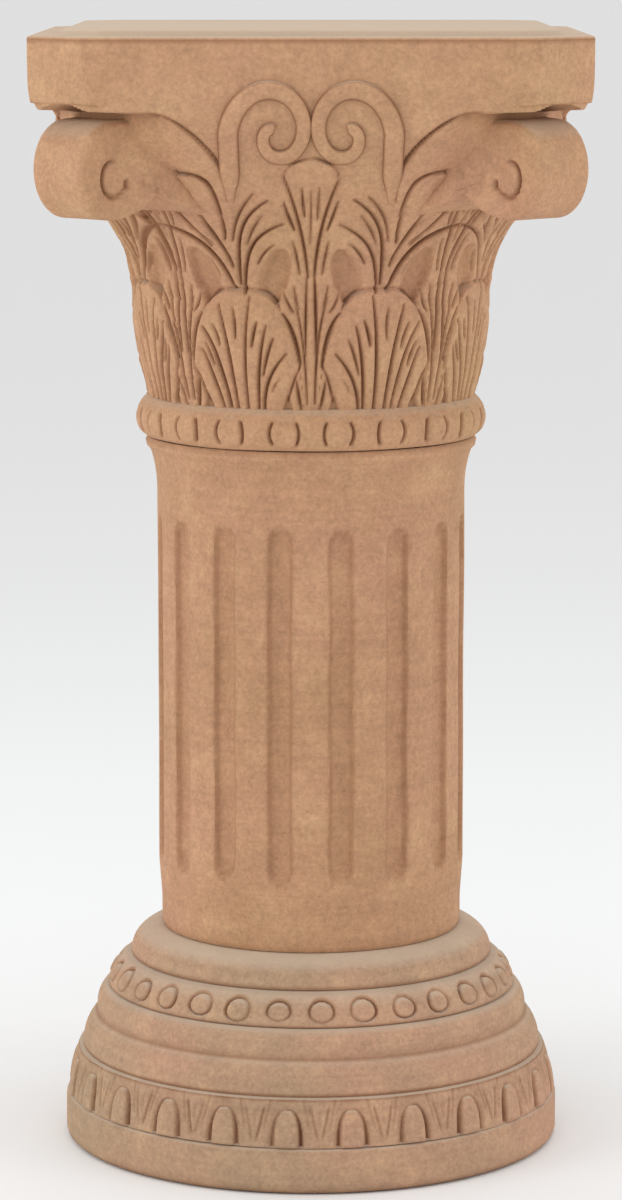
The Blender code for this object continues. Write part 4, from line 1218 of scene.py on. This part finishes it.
def math_node(tree, operation, first, second, clamp=False):
    """Output of an operation on two numbers or outputs."""
    item = node(tree, "ShaderNodeMath", operation=operation, use_clamp=clamp)
    for socket, value in zip(item.inputs, (first, second)):
        set_input(tree, socket, value)
    return item.outputs[0]


def noise_node(tree, vector, scale, detail, roughness=0.55):
    """Noise in the object's own space."""
    item = node(tree, "ShaderNodeTexNoise")
    link(tree, vector, item.inputs["Vector"])
    item.inputs["Scale"].default_value = scale
    item.inputs["Detail"].default_value = detail
    item.inputs["Roughness"].default_value = roughness
    return item.outputs["Fac"]


def spread(tree, value, low, high, out_low=0.0, out_high=1.0):
    """A value moved from one range to another, and kept inside it."""
    item = node(tree, "ShaderNodeMapRange", clamp=True)
    link(tree, value, item.inputs["Value"])
    for name, number in (("From Min", low), ("From Max", high), ("To Min", out_low), ("To Max", out_high)):
        item.inputs[name].default_value = number
    return item.outputs["Result"]


def mix_colour(tree, factor, first, second):
    """Two colours mixed by a factor."""
    item = node(tree, "ShaderNodeMix", data_type="RGBA", blend_type="MIX")
    for socket, value in ((item.inputs[0], factor), (item.inputs[6], first), (item.inputs[7], second)):
        set_input(tree, socket, value)
    return item.outputs[2]


def new_group(name, inputs, outputs):
    """A node group with its sockets, and its input and output nodes."""
    group = bpy.data.node_groups.new(name, "ShaderNodeTree")
    for label, kind, default in inputs:
        socket = group.interface.new_socket(name=label, in_out="INPUT", socket_type=kind)
        socket.default_value = default
    for label, kind in outputs:
        group.interface.new_socket(name=label, in_out="OUTPUT", socket_type=kind)
    return group, group.nodes.new("NodeGroupInput"), group.nodes.new("NodeGroupOutput")


def make_mottle_group():
    """Blotches, fine mottling and turning lines of fired clay, with painted shade in hollows and painted top
    light on faces that look up.
    """
    group, source, result = new_group(
        "Fired Clay Mottle",
        [("Clay", "NodeSocketColor", (0.5, 0.3, 0.17, 1.0)),
         ("Painted Shade Colour", "NodeSocketColor", (0.2, 0.1, 0.04, 1.0)),
         ("Painted Top Light Colour", "NodeSocketColor", (0.6, 0.5, 0.4, 1.0)),
         ("Painted Shade", "NodeSocketFloat", 0.0), ("Turning", "NodeSocketFloat", 0.5),
         ("Painted Top Light", "NodeSocketFloat", 0.0)],
        [("Colour", "NodeSocketColor"), ("Grain", "NodeSocketFloat")])
    place = node(group, "ShaderNodeTexCoord").outputs["Object"]
    broad = noise_node(group, place, 9.0, 3.0)
    patch = noise_node(group, place, 38.0, 5.0, 0.6)
    speckle = noise_node(group, place, 170.0, 4.0, 0.7)
    fine = noise_node(group, place, 420.0, 3.0, 0.6)
    sand = noise_node(group, place, 1500.0, 2.0, 0.7)
    flat = node(group, "ShaderNodeVectorMath", operation="MULTIPLY")
    link(group, place, flat.inputs[0])
    flat.inputs[1].default_value = (3.0, 3.0, 260.0)
    lines = noise_node(group, flat.outputs[0], 1.0, 4.0, 0.65)
    pink = mix_colour(group, spread(group, broad, 0.35, 0.70, 0.0, 0.55), source.outputs["Clay"], PINK_CLAY)
    straw = mix_colour(group, spread(group, patch, 0.50, 0.78, 0.0, 0.38), pink, STRAW_CLAY)
    tone = math_node(group, "ADD", spread(group, patch, 0.25, 0.75, -0.075, 0.075),
                     spread(group, fine, 0.3, 0.7, -0.12, 0.12))
    tone = math_node(group, "ADD", tone, spread(group, speckle, 0.3, 0.7, -0.09, 0.09))
    tone = math_node(group, "ADD", tone, spread(group, sand, 0.3, 0.7, -0.08, 0.08))
    turned = spread(group, lines, 0.35, 0.65, -0.09, 0.09)
    streak = math_node(group, "MULTIPLY", turned, source.outputs["Turning"])
    tone = math_node(group, "ADD", math_node(group, "ADD", tone, streak), 1.0)
    toned = node(group, "ShaderNodeVectorMath", operation="SCALE")
    link(group, straw, toned.inputs[0])
    link(group, tone, toned.inputs["Scale"])
    # Painted shade laid into hollows
    cut = math_node(group, "MULTIPLY", source.outputs["Painted Shade"],
                    spread(group, fine, 0.25, 0.75, 0.75, 1.0), clamp=True)
    shaded_colour = mix_colour(group, cut, toned.outputs[0], source.outputs["Painted Shade Colour"])
    # Painted top light: paler colour on faces that look up
    facing = node(group, "ShaderNodeSeparateXYZ")
    link(group, node(group, "ShaderNodeNewGeometry").outputs["Normal"], facing.inputs[0])
    top_light_share = math_node(group, "MULTIPLY", spread(group, facing.outputs["Z"], 0.55, 0.98, 0.0, 0.85),
                       spread(group, patch, 0.2, 0.7, 0.75, 1.0))
    top_light_share = math_node(group, "MAXIMUM", top_light_share, source.outputs["Painted Top Light"])
    top_lit = mix_colour(group, top_light_share, shaded_colour, source.outputs["Painted Top Light Colour"])
    link(group, top_lit, result.inputs["Colour"])
    grain = math_node(group, "ADD", math_node(group, "MULTIPLY", sand, 0.5),
                      math_node(group, "MULTIPLY", fine, 0.8))
    grain = math_node(group, "ADD", grain, math_node(group, "MULTIPLY", lines, source.outputs["Turning"]))
    link(group, grain, result.inputs["Grain"])
    return group


def make_pit_group():
    """Scattered pits and specks, as a height and a mask."""
    group, source, result = new_group(
        "Clay Pits", [("Amount", "NodeSocketFloat", 0.5)],
        [("Height", "NodeSocketFloat"), ("Mask", "NodeSocketFloat")])
    place = node(group, "ShaderNodeTexCoord").outputs["Object"]
    cells = node(group, "ShaderNodeTexVoronoi", feature="F1")
    link(group, place, cells.inputs["Vector"])
    cells.inputs["Scale"].default_value = 170.0
    cells.inputs["Randomness"].default_value = 1.0
    gate = spread(group, noise_node(group, place, 60.0, 3.0), 0.54, 0.66)
    dot = spread(group, cells.outputs["Distance"], 0.16, 0.05)
    mask = math_node(group, "MULTIPLY", dot, gate)
    mask = math_node(group, "MULTIPLY", mask, source.outputs["Amount"], clamp=True)
    link(group, mask, result.inputs["Mask"])
    link(group, math_node(group, "MULTIPLY", mask, -1.0), result.inputs["Height"])
    return group


def make_clay(name, colour, finish, mottle, pits, turning):
    """Fired clay with painted shade in hollows and crevices, painted top light on faces that look up, grain
    and specks.
    """
    material = bpy.data.materials.new(name)
    material.use_nodes = True
    tree = material.node_tree
    shader = tree.nodes["Principled BSDF"]
    shader.inputs["Roughness"].default_value = finish.roughness
    shader.inputs["Metallic"].default_value = 0.0
    shader.inputs["Specular IOR Level"].default_value = CLAY_GLOSS
    painted_shade = node(tree, "ShaderNodeAttribute", attribute_name="painted_shade")
    # Painted shade in crevices, taken from ambient occlusion
    shadow = node(tree, "ShaderNodeAmbientOcclusion", samples=4, only_local=False)
    shadow.inputs["Distance"].default_value = CREVICE_SHADE_REACH
    crevice_shade = spread(tree, shadow.outputs["AO"], 0.25, 0.85, CREVICE_SHADE_DARKNESS, 0.0)
    carved = math_node(tree, "MULTIPLY", painted_shade.outputs["Fac"], PAINTED_SHADE_DARKNESS)
    total = math_node(tree, "MAXIMUM", carved, crevice_shade)
    clay = node(tree, "ShaderNodeGroup", node_tree=mottle)
    clay.inputs["Clay"].default_value = (*colour, 1.0)
    clay.inputs["Painted Shade Colour"].default_value = (*finish.painted_shade, 1.0)
    clay.inputs["Painted Top Light Colour"].default_value = (*finish.painted_top_light, 1.0)
    clay.inputs["Turning"].default_value = turning
    link(tree, total, clay.inputs["Painted Shade"])
    # Painted top light on the seat
    painted_top_light = node(tree, "ShaderNodeAttribute", attribute_name="painted_top_light")
    link(tree, painted_top_light.outputs["Fac"], clay.inputs["Painted Top Light"])
    specks = node(tree, "ShaderNodeGroup", node_tree=pits)
    specks.inputs["Amount"].default_value = SPECK_AMOUNT
    speck = math_node(tree, "MULTIPLY", specks.outputs["Mask"], SPECK_DARKNESS)
    spotted = mix_colour(tree, speck, clay.outputs["Colour"], (*finish.painted_shade, 1.0))
    link(tree, spotted, shader.inputs["Base Color"])
    height = math_node(tree, "ADD", clay.outputs["Grain"], specks.outputs["Height"])
    bump = node(tree, "ShaderNodeBump")
    bump.inputs["Strength"].default_value = GRAIN_STRENGTH
    bump.inputs["Distance"].default_value = GRAIN_HEIGHT
    link(tree, height, bump.inputs["Height"])
    link(tree, bump.outputs["Normal"], shader.inputs["Normal"])
    return material


def clay_for(slot):
    """The clay of a slot, made at its first use."""
    name = f"fired {slot}"
    if name in bpy.data.materials:
        return bpy.data.materials[name]
    finish = bpy.context.scene.pedestal_clay
    mottle = bpy.data.node_groups.get("Fired Clay Mottle") or make_mottle_group()
    pits = bpy.data.node_groups.get("Clay Pits") or make_pit_group()
    clays = {"base_clay": (finish.base, BASE_TURNING), "shaft_clay": (finish.shaft, SHAFT_TURNING),
             "capital_clay": (finish.capital, 0.0)}
    colour, turning = clays[slot]
    return make_clay(name, tuple(colour), finish, mottle, pits, turning)


# Stage

WHITE = (1.0, 1.0, 1.0)
COOL_WHITE = (0.75, 0.95, 1.0)
# Lamps: name, place, width, height, power and colour
LAMPS = (
    ("left softbox", (-1.9, -1.1, 1.1), 1.0, 1.6, 12.0, WHITE),
    ("right softbox", (2.0, -1.0, 1.0), 1.0, 1.6, 7.5, WHITE),
    ("overhead", (0.0, -0.2, 2.4), 1.6, 1.6, 7.0, WHITE),
    ("left edge light", (-2.0, 0.7, 0.6), 0.8, 1.4, 6.0, COOL_WHITE),
    ("right edge light", (2.0, 0.7, 0.6), 0.8, 1.4, 6.0, COOL_WHITE),
)
LAMP_TARGET = (0.0, 0.0, 0.35)
ROOM_LIGHT = 0.80
FLOOR_COLOUR = (0.92, 0.92, 0.92, 1.0)
FLOOR_ROUGHNESS = 0.9
# Gap between the floor and the foot
FLOOR_GAP = 0.0005
SENSOR_WIDTH = 36.0


def make_plain(name, colour, roughness):
    """A material of one colour."""
    material = bpy.data.materials.new(name)
    material.use_nodes = True
    shader = material.node_tree.nodes["Principled BSDF"]
    shader.inputs["Base Color"].default_value = colour
    shader.inputs["Roughness"].default_value = roughness
    return material


def add_lamp(name, place, width, height, power, colour):
    """A soft rectangular lamp that points at the column."""
    lamp = bpy.data.lights.new(name, "AREA")
    lamp.shape = "RECTANGLE"
    lamp.size, lamp.size_y = width, height
    lamp.energy = power
    lamp.color = colour
    item = bpy.data.objects.new(name, lamp)
    item.location = place
    aim = Vector(LAMP_TARGET) - Vector(place)
    item.rotation_euler = aim.to_track_quat("-Z", "Y").to_euler()
    bpy.context.scene.collection.objects.link(item)


def build_stage(sizes):
    """The floor, the room's even light and the lamps."""
    half = sizes.floor / 2.0
    corners = [(-half, -half, 0.0), (half, -half, 0.0), (half, half, 0.0), (-half, half, 0.0)]
    mesh = bpy.data.meshes.new("floor")
    mesh.from_pydata(corners, [], [(0, 1, 2, 3)])
    mesh.materials.append(make_plain("pale floor", FLOOR_COLOUR, FLOOR_ROUGHNESS))
    floor = bpy.data.objects.new("floor", mesh)
    floor.location.z = -FLOOR_GAP
    bpy.context.scene.collection.objects.link(floor)
    world = bpy.data.worlds.new("studio")
    bpy.context.scene.world = world
    world.use_nodes = True
    back = world.node_tree.nodes["Background"]
    back.inputs["Color"].default_value = (*WHITE, 1.0)
    back.inputs["Strength"].default_value = ROOM_LIGHT
    bpy.context.scene.view_settings.view_transform = "Standard"
    for lamp in LAMPS:
        add_lamp(*lamp)


def build_camera(sizes):
    """The camera at the photo's angle."""
    data = bpy.data.cameras.new("camera")
    data.sensor_width = SENSOR_WIDTH
    data.lens = sizes.lens
    camera = bpy.data.objects.new("camera", data)
    camera.location = (0.0, -sizes.camera_back, sizes.camera_height)
    camera.rotation_euler = (QUARTER - sizes.camera_tilt, 0.0, 0.0)
    bpy.context.scene.collection.objects.link(camera)
    bpy.context.scene.camera = camera


class PEDESTAL_OT_stage(bpy.types.Operator):
    """Sets the floor, the lights and the camera"""

    bl_idname = "pedestal.stage"
    bl_label = "Stage"

    def execute(self, context):
        build_stage(context.scene.pedestal_stage)
        build_camera(context.scene.pedestal_stage)
        return {"FINISHED"}


class PEDESTAL_OT_base(bpy.types.Operator):
    """Models the base with its egg band and flat beads"""

    bl_idname = "pedestal.base"
    bl_label = "Base"

    def execute(self, context):
        build_base(context.scene.pedestal_base, clay_for("base_clay"))
        return {"FINISHED"}


class PEDESTAL_OT_shaft(bpy.types.Operator):
    """Models the fluted shaft"""

    bl_idname = "pedestal.shaft"
    bl_label = "Shaft"

    def execute(self, context):
        build_shaft(context.scene.pedestal_shaft, clay_for("shaft_clay"))
        return {"FINISHED"}


class PEDESTAL_OT_core(bpy.types.Operator):
    """Models the bead ring, the bell and the abacus"""

    bl_idname = "pedestal.core"
    bl_label = "Bell and abacus"

    def execute(self, context):
        build_body(context.scene.pedestal_capital, clay_for("capital_clay"))
        build_seat(clay_for("capital_clay"))
        build_ring(context.scene.pedestal_capital, clay_for("capital_clay"))
        return {"FINISHED"}


class PEDESTAL_OT_scrolls(bpy.types.Operator):
    """Models the corner scrolls and the helices"""

    bl_idname = "pedestal.scrolls"
    bl_label = "Scrolls"

    def execute(self, context):
        build_corner_scrolls(clay_for("capital_clay"))
        build_helices(clay_for("capital_clay"))
        return {"FINISHED"}


class PEDESTAL_PT_panel(bpy.types.Panel):
    """Lists the pieces of the pedestal"""

    bl_idname = "PEDESTAL_PT_panel"
    bl_label = "Column Pedestal"
    bl_space_type = "VIEW_3D"
    bl_region_type = "UI"
    bl_category = "Pedestal"

    def draw(self, context):
        for operator in OPERATORS:
            self.layout.operator(operator.bl_idname)


OPERATORS = (PEDESTAL_OT_stage, PEDESTAL_OT_base, PEDESTAL_OT_shaft, PEDESTAL_OT_core,
             PEDESTAL_OT_scrolls)
GROUPS = {"pedestal_clay": ClayFinish, "pedestal_base": BaseSizes, "pedestal_shaft": ShaftSizes,
          "pedestal_capital": CapitalSizes, "pedestal_stage": StageSizes}


def register():
    """Makes the settings, the operators and the panel known to Blender."""
    for group in GROUPS.values():
        bpy.utils.register_class(group)
    for operator in OPERATORS:
        bpy.utils.register_class(operator)
    bpy.utils.register_class(PEDESTAL_PT_panel)
    for name, group in GROUPS.items():
        setattr(bpy.types.Scene, name, PointerProperty(type=group))


def unregister():
    """Takes them away again."""
    for name in GROUPS:
        delattr(bpy.types.Scene, name)
    bpy.utils.unregister_class(PEDESTAL_PT_panel)
    for operator in reversed(OPERATORS):
        bpy.utils.unregister_class(operator)
    for group in GROUPS.values():
        bpy.utils.unregister_class(group)


def main():
    """Builds the stage and the column."""
    register()
    bpy.ops.pedestal.stage()
    bpy.ops.pedestal.base()
    bpy.ops.pedestal.shaft()
    bpy.ops.pedestal.core()
    bpy.ops.pedestal.scrolls()


if __name__ == "__main__":
    main()
